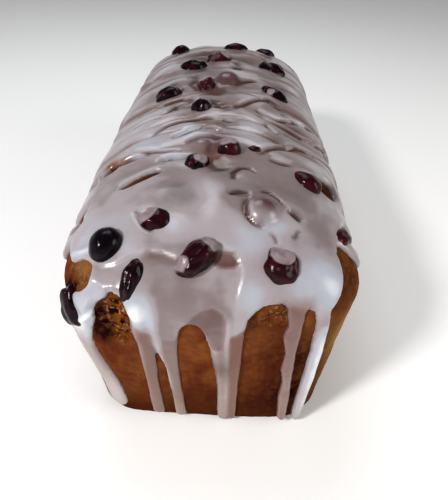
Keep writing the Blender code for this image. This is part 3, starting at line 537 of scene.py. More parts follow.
# Noise patterns: size in millimetres, detail, roughness, the span of the noise that counts, and
# what the pattern gives at the two ends of that span.
PATTERNS = {
    "icing_drift": (9, 2, 0.5, 0.3, 0.7, -0.10, 0.10),
    "icing_cloud": (24, 1, 0.5, 0.35, 0.65, -0.12, 0.12),
    "brown_patches": (15, 4, 0.55, 0.35, 0.65, 0, 1),
    "orange_streaks": (7, 3, 0.6, 0.4, 0.7, 0, 0.3),
    "dark_grain": (2.6, 3, 0.6, 0.35, 0.65, 0, 0.32),
    "golden_patches": (8, 4, 0.6, 0.3, 0.7, 0.55, 1.1),
    "crumb_hole_shade": (2.4, 3, 0.6, 0.37, 0.60, 0, 1),
    "painted_crumb_glints": (1.4, 2, 0.5, 0.56, 0.70, 0, 0.7),
    "juice_patches": (2.2, 3, 0.6, 0.35, 0.6, 0.6, 1.05),
    "crust_roughness": (3, 4, 0.6, 0.3, 0.7, 0.35, 0.6),
    "red_patches": (4, 2, 0.5, 0.45, 0.7, 0, 0.35),
}
# Fine unevenness: size, detail and roughness of the noise, then its height and its strength.
# Lengths are in millimetres.
GRAINS = {
    "icing": (3.5, 3, 0.5, 0.2, 0.35),
    "crust": (1.1, 3, 0.6, 0.2, 0.4),
    "cherry": (1.6, 2, 0.5, 0.15, 0.4),
    "beads": (1.1, 2, 0.5, 0.3, 1.0),
}
STREAK_STRETCH = (2.2, 2.2, 0.5)
FLOOR_PATCH = 60 * MM
FILM_CLOUD = 2.5 * MM

# Low down the icing gets a painted warm bounce light, and the crust is darker: up to which height,
# and how far.
WARM_BOUNCE_TOP = 70 * MM
WARM_BOUNCE_SHARE = 0.35
BAKED_FOOT_HEIGHTS = (-4 * MM, 42 * MM)
BAKED_FOOT_SHARE = 0.8
# A cherry's film starts to show over the first span of its values and is thick after the second.
FILM_SHOWS = (0.35, 0.65)
FILM_THICK = (2.0, 2.8)

FLOOR_HALF_SIZE = 4.0
FLOOR_GLOW = 0.13
# Lamps, by name: place, target, size, power and colour.
LAMPS = {
    "key": ((-0.48, -0.56, 0.58), (0, -0.10, 0.05), 0.14, 6.6, (1.0, 0.97, 0.95)),
    "window": ((-0.12, 0.30, 0.78), (0, -0.06, 0.08), 0.50, 2.3, (0.90, 0.95, 1.0)),
    "fill": ((0.75, -0.30, 0.40), (0, -0.05, 0.04), 0.50, 3.2, (1.0, 0.96, 0.88)),
}
# The room's light is strong from low directions and weak from high ones.
ROOM_HEIGHTS = (0.05, 0.40)
ROOM_STRENGTHS = (0.8, 0.12)

# The camera, fitted to the cake's outline in the photograph.
CAMERA_PLACE = (0.005048, -0.249985, 0.180496)
CAMERA_PITCH = 0.642932
CAMERA_YAW = 0.001702
CAMERA_ROLL = 0.039670
FOCAL_PIXELS = 470
PHOTO_HEIGHT = 500
SENSOR = 36
NEAREST_SEEN = 0.01


# ---------------------------------------------------------------- the loaf's surface


def smooth_max(first, second, width):
    """The larger of two fields, with a fillet of the given width where they cross."""
    share = np.clip(0.5 + 0.5 * (first - second) / width, 0, 1)
    return second + (first - second) * share + width * share * (1 - share)


def smooth_min(first, second, width):
    return -smooth_max(-first, -second, width)


def plan_size(level):
    """Half width, half length and corner radius of the plan, from base (0) to rim (1)."""
    height = np.asarray(RIM_HEIGHT * level)
    drop = np.clip(BASE_EDGE_RADIUS - height, 0, BASE_EDGE_RADIUS)
    inset = BASE_EDGE_RADIUS - np.sqrt(BASE_EDGE_RADIUS**2 - drop**2)
    half_width = (BASE_WIDTH + (RIM_WIDTH - BASE_WIDTH) * level) / 2 - inset
    half_length = (BASE_LENGTH + (RIM_LENGTH - BASE_LENGTH) * level) / 2 - inset
    corner = BASE_CORNER + (RIM_CORNER - BASE_CORNER) * level
    return half_width, half_length, corner


def plan_point(across, along, level):
    """X and Y of a place given by -1..1 across and along, with round corners and bowed sides."""
    half_width, half_length, corner = plan_size(level)
    x, y = np.abs(across) * half_width, np.abs(along) * half_length
    in_x = np.clip((x - (half_width - corner)) / corner, 0, 1)
    in_y = np.clip((y - (half_length - corner)) / corner, 0, 1)
    x = np.where(in_x > 0, half_width - corner + corner * in_x * np.sqrt(1 - in_y**2 / 2), x)
    y = np.where(in_y > 0, half_length - corner + corner * in_y * np.sqrt(1 - in_x**2 / 2), y)
    share_x, share_y = x / half_width, y / half_length
    bowed_x = x + SIDE_BOW * share_x**3 * (1 - share_y**2)
    bowed_y = y + END_BOW * share_y**3 * (1 - share_x**2)
    return np.sign(across) * bowed_x, np.sign(along) * bowed_y


def dome_height(across, along):
    ridge = np.clip(1 - np.abs(across) ** DOME_POWER_ACROSS, 0, 1)
    ends = np.clip(1 - np.abs(along) ** DOME_POWER_ALONG, 0, 1)
    return RIM_HEIGHT + DOME_HEIGHT * np.sqrt(ridge * ends)


def graded_steps(half_size, power, cell_at):
    """Places from -1 to 1 that cut the dome's profile into cells of the size wanted there."""
    place = np.sin(np.linspace(-math.pi / 2, math.pi / 2, PROFILE_SAMPLES))
    rise = DOME_HEIGHT * np.sqrt(np.clip(1 - np.abs(place) ** power, 0, 1))
    length = np.hypot(np.diff(place * half_size), np.diff(rise))
    middle = (place[1:] + place[:-1]) / 2 * half_size
    run = np.concatenate([[0], np.cumsum(length / cell_at(middle))])
    return np.interp(np.linspace(0, run[-1], round(run[-1]) + 1), run, place)


def loaf_grid(across_cell, along_cell, wall_cell, lowest):
    """Points and quads of the loaf, left open: the dome's grid, then rings down to `lowest`."""
    across = graded_steps(RIM_WIDTH / 2, DOME_POWER_ACROSS, across_cell)
    along = graded_steps(RIM_LENGTH / 2, DOME_POWER_ALONG, along_cell)
    columns, rows = len(across), len(along)
    grid_x, grid_y = np.meshgrid(across, along)
    x, y = plan_point(grid_x, grid_y, 1.0)
    points = [np.stack([x, y, dome_height(grid_x, grid_y)], axis=-1).reshape(-1, 3)]
    index = np.arange(rows * columns).reshape(rows, columns)
    quads = [quads_between(index[:-1], index[1:])]

    rim = np.concatenate(
        [index[0, :-1], index[:-1, -1], index[-1, :0:-1], index[:0:-1, 0]]
    )
    rim_x, rim_y = grid_x.reshape(-1)[rim], grid_y.reshape(-1)[rim]
    ring_above = rim
    count = rows * columns
    drops = round((RIM_HEIGHT - lowest) / wall_cell)
    for height in np.linspace(RIM_HEIGHT, lowest, drops + 1)[1:]:
        x, y = plan_point(rim_x, rim_y, height / RIM_HEIGHT)
        points.append(np.stack([x, y, np.full(len(x), height)], axis=-1))
        ring = count + np.arange(len(rim))
        quads.append(quads_between(closed_row(ring), closed_row(ring_above)))
        ring_above = ring
        count += len(rim)
    return np.concatenate(points), np.concatenate(quads), ring_above


def closed_row(ring):
    return np.append(ring, ring[0])[None]


def quads_between(lower, upper):
    """Quads between rows of point numbers, facing out where the rows run anticlockwise."""
    corners = [lower[:, :-1], lower[:, 1:], upper[:, 1:], upper[:, :-1]]
    return np.stack([corner.reshape(-1) for corner in corners], axis=-1)


def outward(points, quads):
    """A unit normal for each point of an open grid."""
    corners = points[quads]
    face = np.cross(corners[:, 2] - corners[:, 0], corners[:, 3] - corners[:, 1])
    total = np.zeros_like(points)
    for corner in range(4):
        np.add.at(total, quads[:, corner], face)
    return total / np.linalg.norm(total, axis=1, keepdims=True)


def noise_at(points, size, seed):
    """Smooth noise of about -1 to 1 whose features have the given size."""
    shift = Vector(NOISE_STEP) * seed
    return np.array([noise.noise(Vector(point) / size + shift) for point in points])


def crag_share(points):
    """1 in the middle of the torn corner, falling to 0 at its border."""
    away = (points - np.array(CRAG_CENTRE)) / np.array(CRAG_REACH)
    return np.clip(CRAG_FULLNESS * (1 - np.sum(away**2, axis=1)), 0, 1)


def bell(distance, reach):
    """1 where the distance is 0, falling smoothly to nearly 0 at twice the reach."""
    return np.exp(-((distance / reach) ** 2))


def progress(value, start, reach):
    """0 up to the start, then evenly to 1 over the reach."""
    return np.clip((value - start) / reach, 0, 1)


def loaf_relief(points):
    """How far the crust stands out from the plain form."""
    swell = CRUST_SWELL * noise_at(points, CRUST_SWELL_SIZE, CRUST_NOISE)
    torn = CRAG_DEPTH * (CRAG_UNEVENNESS * noise_at(points, CRAG_GRAIN, CRAG_NOISE) - CRAG_SINK)
    relief = swell + crag_share(points) * torn
    for x, y, z, reach, height in CORNER_RISES:
        away = np.linalg.norm(points - np.array((x, y, z)) * MM, axis=1)
        relief += height * MM * bell(away, reach * MM)
    return relief


def spots_at(points, spots):
    """Sum of soft round spots, each given by centre x, y, z, reach and strength."""
    total = np.zeros(len(points))
    for x, y, z, reach, strength in spots:
        away = np.linalg.norm(points - np.array((x, y, z)) * MM, axis=1)
        total += strength * bell(away, reach * MM)
    return total


# ---------------------------------------------------------------- the icing's fields


def around(points):
    """Place round the rim, from the front's centre line: + towards +X, - towards -X."""
    core_x = (RIM_WIDTH / 2) - RIM_CORNER
    core_y = (RIM_LENGTH / 2) - RIM_CORNER
    x, y = np.abs(points[:, 0]), points[:, 1]
    out_x, out_y = np.maximum(x - core_x, 0), np.maximum(np.abs(y) - core_y, 0)
    turn = np.arctan2(out_x, np.maximum(out_y, TINY))
    quarter = RIM_CORNER * math.pi / 2
    inner = (out_x == 0) & (out_y == 0)
    nearer_end = inner & (core_y - np.abs(y) < core_x - x)
    turn = np.where(inner, np.where(nearer_end, 0, math.pi / 2), turn)
    front = np.minimum(x, core_x) + RIM_CORNER * turn
    side = core_x + quarter + np.clip(y + core_y, 0, 2 * core_y)
    back = core_x + 2 * quarter + 2 * core_y - RIM_CORNER * turn + core_x - np.minimum(x, core_x)
    on_side = (out_y == 0) & ~nearer_end
    place = np.where(on_side, side, np.where(y < 0, front, back))
    return place * np.where(points[:, 0] < 0, -1, 1)


def edge_length():
    """Length of the rim's outline."""
    straight = 2 * (RIM_WIDTH + RIM_LENGTH) - 8 * RIM_CORNER
    return straight + 2 * math.pi * RIM_CORNER


def edge_height(place):
    """Height of the icing's lower edge at a place round the rim."""
    knots = np.array(FRONT_EDGE) * MM
    front = np.interp(place, knots[:, 0], knots[:, 1])
    turns = place / SIDE_WAVE_LENGTH
    side = SIDE_EDGE + SIDE_WAVE * np.cos(2 * math.pi * turns + SIDE_WAVE_PHASE)
    share = np.clip((np.abs(place) - FRONT_EDGE_END) / FRONT_EDGE_BLEND, 0, 1)
    return front * (1 - share) + side * share


def side_drips():
    """Lobes of the sides and the back, and the drips that some of them feed."""
    draw = random.Random(EDGE_SEED)
    half_round = edge_length() / 2
    drips = []
    for side in (-1, 1):
        place = FIRST_LOBE
        while place < half_round:
            low = LOBE_LOW + (LOBE_LOWEST - LOBE_LOW) * draw.random() ** 2
            half = LOBE_HALF_WIDTH * draw.uniform(*LOBE_HALF_WIDTH_RANGE)
            drips.append(((side * place, LOBE_TOP, half), (side * place, low, half)))
            if draw.random() < SIDE_DRIP_CHANCE and place > FIRST_LOBE + LOBE_PITCH:
                lean = draw.uniform(-SIDE_DRIP_LEAN, SIDE_DRIP_LEAN)
                end = draw.uniform(*SIDE_DRIP_END)
                width = draw.uniform(*SIDE_DRIP_HALF_WIDTH)
                start = (side * place, low, width * SIDE_DRIP_FLARE)
                drips.append((start, (side * place + lean, end, width)))
            place += LOBE_PITCH * draw.uniform(*LOBE_PITCH_RANGE)
    return drips


def all_drips():
    """Every drip as points of place, height and half width in metres."""
    front = [[tuple(value * MM for value in spot) for spot in drip] for drip in FRONT_DRIPS]
    return front + side_drips()


def drip_cover(place, height, drip):
    """How far inside a drip each point lies."""
    cover = np.full(len(place), -np.inf)
    for (start_place, start_height, wide), (end_place, end_height, narrow) in zip(drip, drip[1:]):
        run = np.array([end_place - start_place, end_height - start_height])
        away = np.stack([place - start_place, height - start_height], axis=-1)
        share = np.clip(away @ run / (run @ run), 0, 1)
        half_width = wide + (narrow - wide) * share
        cover = np.maximum(cover, half_width - np.linalg.norm(away - share[:, None] * run, axis=1))
    return cover


def line_distance(points, line):
    """Distance in the plane to a line, how far behind it each point lies, and its taper."""
    nearest = np.full(len(points), np.inf)
    behind = np.zeros(len(points))
    taper = np.zeros(len(points))
    plan = points[:, :2]
    spots = np.array(line) * MM
    lengths = np.linalg.norm(np.diff(spots, axis=0), axis=1)
    before = np.concatenate([[0], np.cumsum(lengths)])
    for start, end, length, done in zip(spots, spots[1:], lengths, before):
        run = end - start
        share = np.clip((plan - start) @ run / (run @ run), 0, 1)
        away = plan - start - share[:, None] * run
        distance = np.linalg.norm(away, axis=1)
        closer = distance < nearest
        nearest = np.where(closer, distance, nearest)
        behind = np.where(closer, away[:, 1], behind)
        along = (done + share * length) / before[-1]
        taper = np.where(closer, np.sqrt(1 - (2 * along - 1) ** 2), taper)
    return nearest, behind, taper


def polygon_depth(plan, corners):
    """How far inside a polygon each point of a plane lies; below 0 it is outside."""
    spots = np.array(corners) * MM
    nearest = np.full(len(plan), np.inf)
    inside = np.zeros(len(plan), bool)
    for start, end in zip(spots, np.roll(spots, -1, axis=0)):
        run = end - start
        share = np.clip((plan - start) @ run / (run @ run), 0, 1)
        nearest = np.minimum(nearest, np.linalg.norm(plan - start - share[:, None] * run, axis=1))
        if start[1] != end[1]:
            spans = (start[1] > plan[:, 1]) != (end[1] > plan[:, 1])
            crossing = start[0] + (plan[:, 1] - start[1]) / run[1] * run[0]
            inside ^= spans & (plan[:, 0] < crossing)
    return np.where(inside, nearest, -nearest)


def zone_shares(points):
    """For each zone of thinner icing, how far each point is in it (0 to 1), and its numbers."""
    face = np.stack([around(points), points[:, 2]], axis=-1)
    on_face = np.clip((FACE_TOP - points[:, 2]) / FACE_FADE, 0, 1) * (points[:, 1] < 0)
    for corners, depth, step, dullness, sheer_and_shade in DOME_ZONES:
        inside = polygon_depth(points[:, :2], corners)
        yield smooth_step(inside, step * MM), depth * MM, dullness, sheer_and_shade
    for corners, depth, step, dullness, sheer_and_shade in FACE_ZONES:
        inside = polygon_depth(face, corners)
        yield on_face * smooth_step(inside, step * MM), depth * MM, dullness, sheer_and_shade


def ridge_shares(points):
    """For each ridge of the front's face, how near each point is (0 to 1), and its numbers."""
    face = np.stack([around(points), points[:, 2]], axis=-1)
    in_front = points[:, 1] < 0
    for line, half_width, height, brightness in FACE_RIDGES:
        distance, _, taper = line_distance(face, line)
        yield in_front * taper * bell(distance, half_width * MM), height * MM, brightness


def folds(points):
    """For each crease and slit of the dome, how deep it is and how high its raised edge."""
    on_dome = points[:, 2] > RIM_HEIGHT
    for line, half_width, drop, lip in CREASES:
        distance, rear, taper = line_distance(points, line)
        crease = on_dome * taper * bell(distance, half_width * MM)
        yield crease, drop, on_dome * lip * raised_edge(distance, rear, taper)
    for line, _ in SLITS:
        yield 0, 0, on_dome * SLIT_LIP * raised_edge(*line_distance(points, line))


def raised_edge(distance, rear, taper):
    """How near each point is to the raised edge of the strand behind a slit, from 0 to 1."""
    level = bell(distance - rear, LIP_WIDTH)
    return level * taper * bell(rear - LIP_PLACE, LIP_WIDTH)


def smooth_step(inside, width):
    """0 outside a border of the given width and 1 inside it, smoothly."""
    share = np.clip(inside / width + 0.5, 0, 1)
    return share * share * (3 - 2 * share)


def icing_cover(points):
    """How far each point lies inside the icing's outline; below 0 the crust is bare."""
    place, height = around(points), points[:, 2]
    cover = height - edge_height(place)
    for drip in all_drips():
        cover = smooth_max(cover, drip_cover(place, height, drip), DRIP_FILLET)
    for x, y, z, radius in BARE_SPOTS:
        away = np.linalg.norm(points - np.array((x, y, z)) * MM, axis=1)
        cover = smooth_min(cover, away - radius * MM, SPOT_FILLET)
    for line, half_width in SLITS:
        distance, _, taper = line_distance(points, line)
        cover = smooth_min(cover, distance - half_width * MM * taper, SLIT_FILLET)
    return cover


def strand_rise(points):
    """Height that the drizzled strands add on the dome: each is steep in front, gentle behind."""
    draw = random.Random(STRAND_SEED)
    x, y = points[:, 0], points[:, 1]
    sideways = np.clip(np.abs(x) / STRAND_BOW_SPAN, 0, 1)
    sweep = sideways**2 * (3 - 2 * sideways)
    drift = STRAND_DRIFT * noise_at(points, STRAND_DRIFT_SIZE, DRIFT_NOISE)
    swell = 1 + STRAND_SWELL * noise_at(points, STRAND_SWELL_SIZE, STRAND_NOISE)
    rise = np.zeros(len(points))
    centre = STRAND_START
    while centre < STRAND_END:
        growth = 1 + STRAND_GROWTH * (centre - STRAND_START) / (STRAND_END - STRAND_START)
        bow = draw.uniform(*STRAND_BOW) * sweep
        phase = draw.uniform(0, 2 * math.pi)
        ripple = STRAND_RIPPLE * np.sin(x / STRAND_RIPPLE_SIZE + phase)
        half = growth * STRAND_HALF_WIDTH * draw.uniform(*STRAND_HALF_WIDTH_RANGE)
        away = (y + drift - (centre - bow + ripple)) / half + STRAND_CREST
        slope = np.where(away < 0, away / (1 - STRAND_CREST), away / (STRAND_TAIL + STRAND_CREST))
        height = STRAND_RISE * draw.uniform(*STRAND_RISE_RANGE) * swell
        top = height * np.sqrt(np.clip(1 - slope**2, 0, 1))
        rise = smooth_max(rise, top, STRAND_FILLET)
        centre += growth * STRAND_PITCH * draw.uniform(*STRAND_PITCH_RANGE)
    return rise


def among_strands(points):
    """0 in front of the strands and 1 among them."""
    return progress(points[:, 1], STRAND_START, STRAND_BLEND)


def icing_depth(points):
    """Full depth of the icing, away from its edge."""
    depth = np.full(len(points), ICING_DEPTH)
    on_top = progress(points[:, 2], SHOULDER_LOW, SHOULDER_HIGH - SHOULDER_LOW)
    depth += among_strands(points) * on_top * (strand_rise(points) - STRAND_BED)
    for x, y, half_x, half_y, extra in POOLS:
        away = ((points[:, 0] - x * MM) / (half_x * MM)) ** 2
        away += ((points[:, 1] - y * MM) / (half_y * MM)) ** 2
        depth += extra * MM * np.exp(-away)
    depth += ICING_SWELL * noise_at(points, ICING_SWELL_SIZE, ICING_NOISE)
    for crease, drop, edge in folds(points):
        depth += MM * (edge - drop * crease)
    for share, lost, _, _ in zone_shares(points):
        depth -= share * lost
    for share, height, _ in ridge_shares(points):
        depth += share * height
    depth += MM * spots_at(points, BUMPS)
    return np.maximum(depth, LEAST_DEPTH)


def icing_whiteness_and_light(points, depth):
    """How white the icing is painted, from its thickness and from painted highlights and shade:
    about 0 where it is dull, 1 and more where white.
    """
    behind = among_strands(points)
    per_depth = TINT_PER_DEPTH + (STRAND_TINT_PER_DEPTH - TINT_PER_DEPTH) * behind
    whiteness_and_light = 0.5 + (depth - ICING_DEPTH - STRAND_BED * behind) * per_depth
    # Painted highlights and painted shade among the spots.
    whiteness_and_light += spots_at(points, TINT_AND_LIGHT_SPOTS)
    whiteness_and_light -= THIN_TINT * np.clip(1 - depth / THIN_DEPTH, 0, 1)
    # Thin icing, and painted shade under the step of a thicker layer.
    for zone, _, dullness, _ in zone_shares(points):
        whiteness_and_light -= zone * dullness
    # Thicker icing and a painted highlight along the front's ridges.
    for ridge, _, brightness in ridge_shares(points):
        whiteness_and_light += ridge * brightness
    # Painted highlight on the raised edges and painted shade in the creases.
    for crease, _, edge in folds(points):
        whiteness_and_light += LIP_PAINTED_HIGHLIGHT * edge - CREASE_PAINTED_SHADE * crease
    on_dome = points[:, 2] > RIM_HEIGHT
    # Painted highlight lines.
    for line, half_width, brightness in PAINTED_HIGHLIGHT_LINES:
        distance, _, taper = line_distance(points, line)
        whiteness_and_light += on_dome * brightness * taper * bell(distance, half_width * MM)
    whiteness_and_light -= LOW_TINT * np.clip(1 - points[:, 2] / LOW_REACH, 0, 1)
    # Painted shade towards the rear.
    return whiteness_and_light - REAR_PAINTED_SHADE * progress(points[:, 1], REAR_START, REAR_REACH)


def icing_sheer_and_shade(points):
    """How far the crust shows through the icing, with painted shade in some hollows, from 0 to 1.
    """
    valley = among_strands(points) * np.clip(1 - strand_rise(points) / STRAND_RISE, 0, 1)
    sheer_and_shade = spots_at(points, SHEER_AND_SHADE_SPOTS) + VALLEY_SHEER * valley
    for zone, _, _, seen in zone_shares(points):
        sheer_and_shade = np.maximum(sheer_and_shade, zone * seen)
    for ridge, _, brightness in ridge_shares(points):
        sheer_and_shade -= ridge * brightness
    return np.clip(sheer_and_shade, 0, 1)


def film_height(points, normals, cherry):
    """Height above the loaf at which the icing passes over a cherry, or NO_FILM beside it."""
    spin = np.array(cherry["matrix"].to_3x3().normalized())
    radii = np.array(cherry["radii"]) + FILM_DEPTH
    start = (points - np.array(cherry["matrix"].translation)) @ spin / radii
    ray = normals @ spin / radii
    a = np.sum(ray**2, axis=1)
    b = np.sum(ray * start, axis=1)
    inside = b**2 - a * (np.sum(start**2, axis=1) - 1)
    top = (-b + np.sqrt(np.maximum(inside, 0))) / a
    return np.where(inside > 0, top, NO_FILM)


# ---------------------------------------------------------------- meshes


def split_at(points, normals, cover, triangles, level):
    """Cuts every triangle that crosses the level of the cover, so that an edge runs along it."""
    close = np.abs(cover - level) < CUT_CLEARANCE
    cover = np.where(close, level + CUT_CLEARANCE, cover)
    above = cover[triangles] > level
    count = above.sum(axis=1)
    crossing = (count == 1) | (count == 2)
    kept, cut = triangles[~crossing], triangles[crossing]
    above = above[crossing]
    lone = np.where(above.sum(axis=1) == 1, np.argmax(above, axis=1), np.argmin(above, axis=1))
    row = np.arange(len(cut))
    first, second, third = (cut[row, (lone + turn) % 3] for turn in range(3))
    pairs = np.concatenate([np.stack([first, second], 1), np.stack([first, third], 1)])
    pairs.sort(axis=1)
    edges, number = np.unique(pairs, axis=0, return_inverse=True)
    number = number.reshape(-1) + len(points)
    start, end = edges[:, 0], edges[:, 1]
    share = ((level - cover[start]) / (cover[end] - cover[start]))[:, None]
    points = np.concatenate([points, points[start] + (points[end] - points[start]) * share])
    normals = np.concatenate([normals, normals[start] + (normals[end] - normals[start]) * share])
    cover = np.concatenate([cover, np.full(len(edges), level)])
    near, far = number[: len(cut)], number[len(cut):]
    made = [
        np.stack([first, near, far], 1),
        np.stack([near, second, third], 1),
        np.stack([near, third, far], 1),
    ]
    return points, normals, cover, np.concatenate([kept] + made)


def used_only(triangles, *fields):
    """Drops the points that no triangle uses."""
    used, number = np.unique(triangles, return_inverse=True)
    return number.reshape(triangles.shape), *[field[used] for field in fields]


def mesh_object(name, points, faces, fields=None):
    """A smooth-shaded object with the given float values stored on its points."""
    mesh = bpy.data.meshes.new(name)
    mesh.vertices.add(len(points))
    mesh.vertices.foreach_set("co", np.asarray(points, np.float32).reshape(-1))
    sizes = np.array([len(face) for face in faces])
    corners = np.concatenate(list(faces))
    mesh.loops.add(len(corners))
    mesh.loops.foreach_set("vertex_index", corners.astype(np.int32))
    mesh.polygons.add(len(sizes))
    mesh.polygons.foreach_set("loop_start", np.concatenate([[0], np.cumsum(sizes)[:-1]]))
    mesh.update(calc_edges=True)
    mesh.validate()
    return placed(mesh, fields or {})


def placed(mesh, fields):
    """A smooth-shaded object of the mesh, in the scene, with the float values on its points."""
    for field, values in fields.items():
        layer = mesh.attributes.new(field, "FLOAT", "POINT")
        layer.data.foreach_set("value", np.asarray(values, np.float32))
    mesh.shade_smooth()
    made = bpy.data.objects.new(mesh.name, mesh)
    bpy.context.scene.collection.objects.link(made)
    return made


def thin_to(made, triangles, group=None):
    """Thins a mesh to about the given count, only at the points of the group where it has one."""
    count = sum(len(face.vertices) - 2 for face in made.data.polygons)
    if count <= triangles:
        return
    decimate = made.modifiers.new("Thin", "DECIMATE")
    decimate.ratio = triangles / count
    if group:
        decimate.vertex_group = group
        decimate.vertex_group_factor = THIN_STRICTNESS
    graph = bpy.context.evaluated_depsgraph_get()
    mesh = bpy.data.meshes.new_from_object(made.evaluated_get(graph))
    made.modifiers.clear()
    made.data = mesh


def group_points(made, name, points):
    group = made.vertex_groups.new(name=name)
    group.add(list(points), 1.0, "REPLACE")


# ---------------------------------------------------------------- cherries


def surface_frame(x, y):
    """The dome's point at plan x, y, with its normal."""
    across, along = x / (RIM_WIDTH / 2), y / (RIM_LENGTH / 2)
    for _ in range(PLACE_STEPS):
        found_x, found_y = plan_point(across, along, 1.0)
        across = float(np.clip(across + (x - found_x) / (RIM_WIDTH / 2), -NEAR_RIM, NEAR_RIM))
        along = float(np.clip(along + (y - found_y) / (RIM_LENGTH / 2), -NEAR_RIM, NEAR_RIM))
    step = 1e-3

    def spot(across, along):
        found_x, found_y = plan_point(across, along, 1.0)
        return Vector((float(found_x), float(found_y), float(dome_height(across, along))))

    point = spot(across, along)
    over = spot(across + step, along) - spot(across - step, along)
    up = spot(across, along + step) - spot(across, along - step)
    return point, over.cross(up).normalized()


def cherry_plan(row):
    """Where a cherry lies: its matrix and its three radii."""
    x, y, length, width, height, turn, out, slid, iced = row
    point, normal = surface_frame(x * MM, y * MM)
    along = Vector((1, 0, 0)) - normal * normal.x
    if along.length < SHORTEST_ALONG:
        along = Vector((0, 1, 0)) - normal * normal.y
    along.normalize()
    side = normal.cross(along)
    turned = Matrix((along, side, normal)).transposed().to_4x4()
    centre = point + (normal * (out - height / 2) - Vector((0, 0, slid))) * MM
    matrix = Matrix.Translation(centre) @ turned @ Matrix.Rotation(math.radians(turn), 4, "Z")
    radii = (length / 2 * MM, width / 2 * MM, height / 2 * MM)
    return {"matrix": matrix, "radii": radii, "iced": iced}


def film_and_glint_share(mesh, plan, number):
    """How far inside the icing's films and painted glints each point of a cherry lies: 0.5 at a
    film's border.
    """
    share = np.zeros(len(mesh.vertices))
    centre = plan["matrix"].translation
    for toward, angle in CHERRY_FILMS_AND_GLINTS.get(number, ()):
        toward = Vector(toward).normalized()
        for spot, vertex in enumerate(mesh.vertices):
            wave = FILM_WAVE * noise.noise(vertex.co / FILM_WAVE_SIZE + Vector((number, 0, 0)))
            turned = toward.angle((vertex.co - centre).normalized())
            inside = 0.5 + (math.radians(angle) - turned) / FILM_BORDER + wave
            share[spot] = max(share[spot], inside)
    return share


def shape_cherry(mesh, number, plan):
    """An uneven egg with a blunt end, a dent along its upper side and fine folds."""
    unevenness = PLUMP_CHERRIES.get(number, 1.0)
    work = bmesh.new()
    bmesh.ops.create_icosphere(work, subdivisions=CHERRY_SUBDIVISIONS, radius=1)
    shift = Vector((number * CHERRY_NOISE_STEP, 0, 0))
    for vertex in work.verts:
        place = vertex.co.copy()
        lump = 1 + unevenness * CHERRY_LUMP * noise.noise(place * CHERRY_LUMP_SCALE + shift)
        valley = math.exp(-(((place.y - CHERRY_DENT_PLACE) / CHERRY_DENT_WIDTH) ** 2))
        dent = unevenness * CHERRY_DENT * valley * max(place.z, 0)
        blunt = 1 + CHERRY_BLUNT * place.x
        fold = 1 - 2 * abs(noise.noise(place * CHERRY_WRINKLE_SCALE + shift * 2))
        fine = noise.noise(place * CHERRY_WRINKLE_SCALE * CHERRY_FINE_SCALE + shift)
        wrinkle = CHERRY_FOLD * fold + CHERRY_FINE * fine - CHERRY_FOLD_SINK
        wrinkled = 1 + unevenness * CHERRY_WRINKLE * wrinkle
        place.y *= blunt
        place.z *= blunt * (1 - dent)
        sized = zip(place * lump * wrinkled, plan["radii"])
        vertex.co = Vector([value * radius for value, radius in sized])
    bmesh.ops.transform(work, matrix=plan["matrix"], verts=work.verts)
    work.to_mesh(mesh)
    work.free()


def make_cherry(number, plan, finish):
    mesh = bpy.data.meshes.new(f"dark_cherry_{number:02d}")
    shape_cherry(mesh, number, plan)
    redness = np.full(len(mesh.vertices), CHERRY_RED.get(number, 0.0))
    made = placed(mesh, {"film": film_and_glint_share(mesh, plan, number), "red": redness})
    made.data.materials.append(finish)
    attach(made, "root")
    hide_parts(f"cherry_{number:02d}")


# ---------------------------------------------------------------- icing and crust


def icing_cell(y):
    """Length of the icing's cells at a place along the cake."""
    share = progress(y, ICING_CELL_GROWS, RIM_LENGTH / 2 - ICING_CELL_GROWS)
    return ICING_CELL_FRONT + (ICING_CELL_BACK - ICING_CELL_FRONT) * share


def crust_cell(y):
    """Length of the crust's cells at a place along the cake."""
    share = progress(y, CRUST_CELL_GROWS, CRUST_CELL_BLEND)
    return CRUST_CELL_FRONT + (CRUST_CELL_BACK - CRUST_CELL_FRONT) * share


def cut_icing():
    """The part of the loaf's surface that the icing covers, cut evenly along its outline."""
    points, quads, _ = loaf_grid(
        lambda x: np.full_like(x, ICING_CELL_ACROSS), icing_cell, ICING_CELL_FRONT, ICING_FOOT
    )
    normals = outward(points, quads)
    cover = icing_cover(points)
    triangles = np.concatenate([quads[:, [0, 1, 2]], quads[:, [0, 2, 3]]])
    triangles = triangles[(cover[triangles] > FAR_OUTSIDE).all(axis=1)]
    triangles, points, normals, cover = used_only(triangles, points, normals, cover)
    for level in LIP_CUTS:
        points, normals, cover, triangles = split_at(points, normals, cover, triangles, level)
        if level == 0.0:
            triangles = triangles[(cover[triangles] > -CUT_CLEARANCE / 2).all(axis=1)]
    triangles, points, normals, cover = used_only(triangles, points, normals, cover)
    normals /= np.linalg.norm(normals, axis=1, keepdims=True)
    return triangles, points, normals, cover


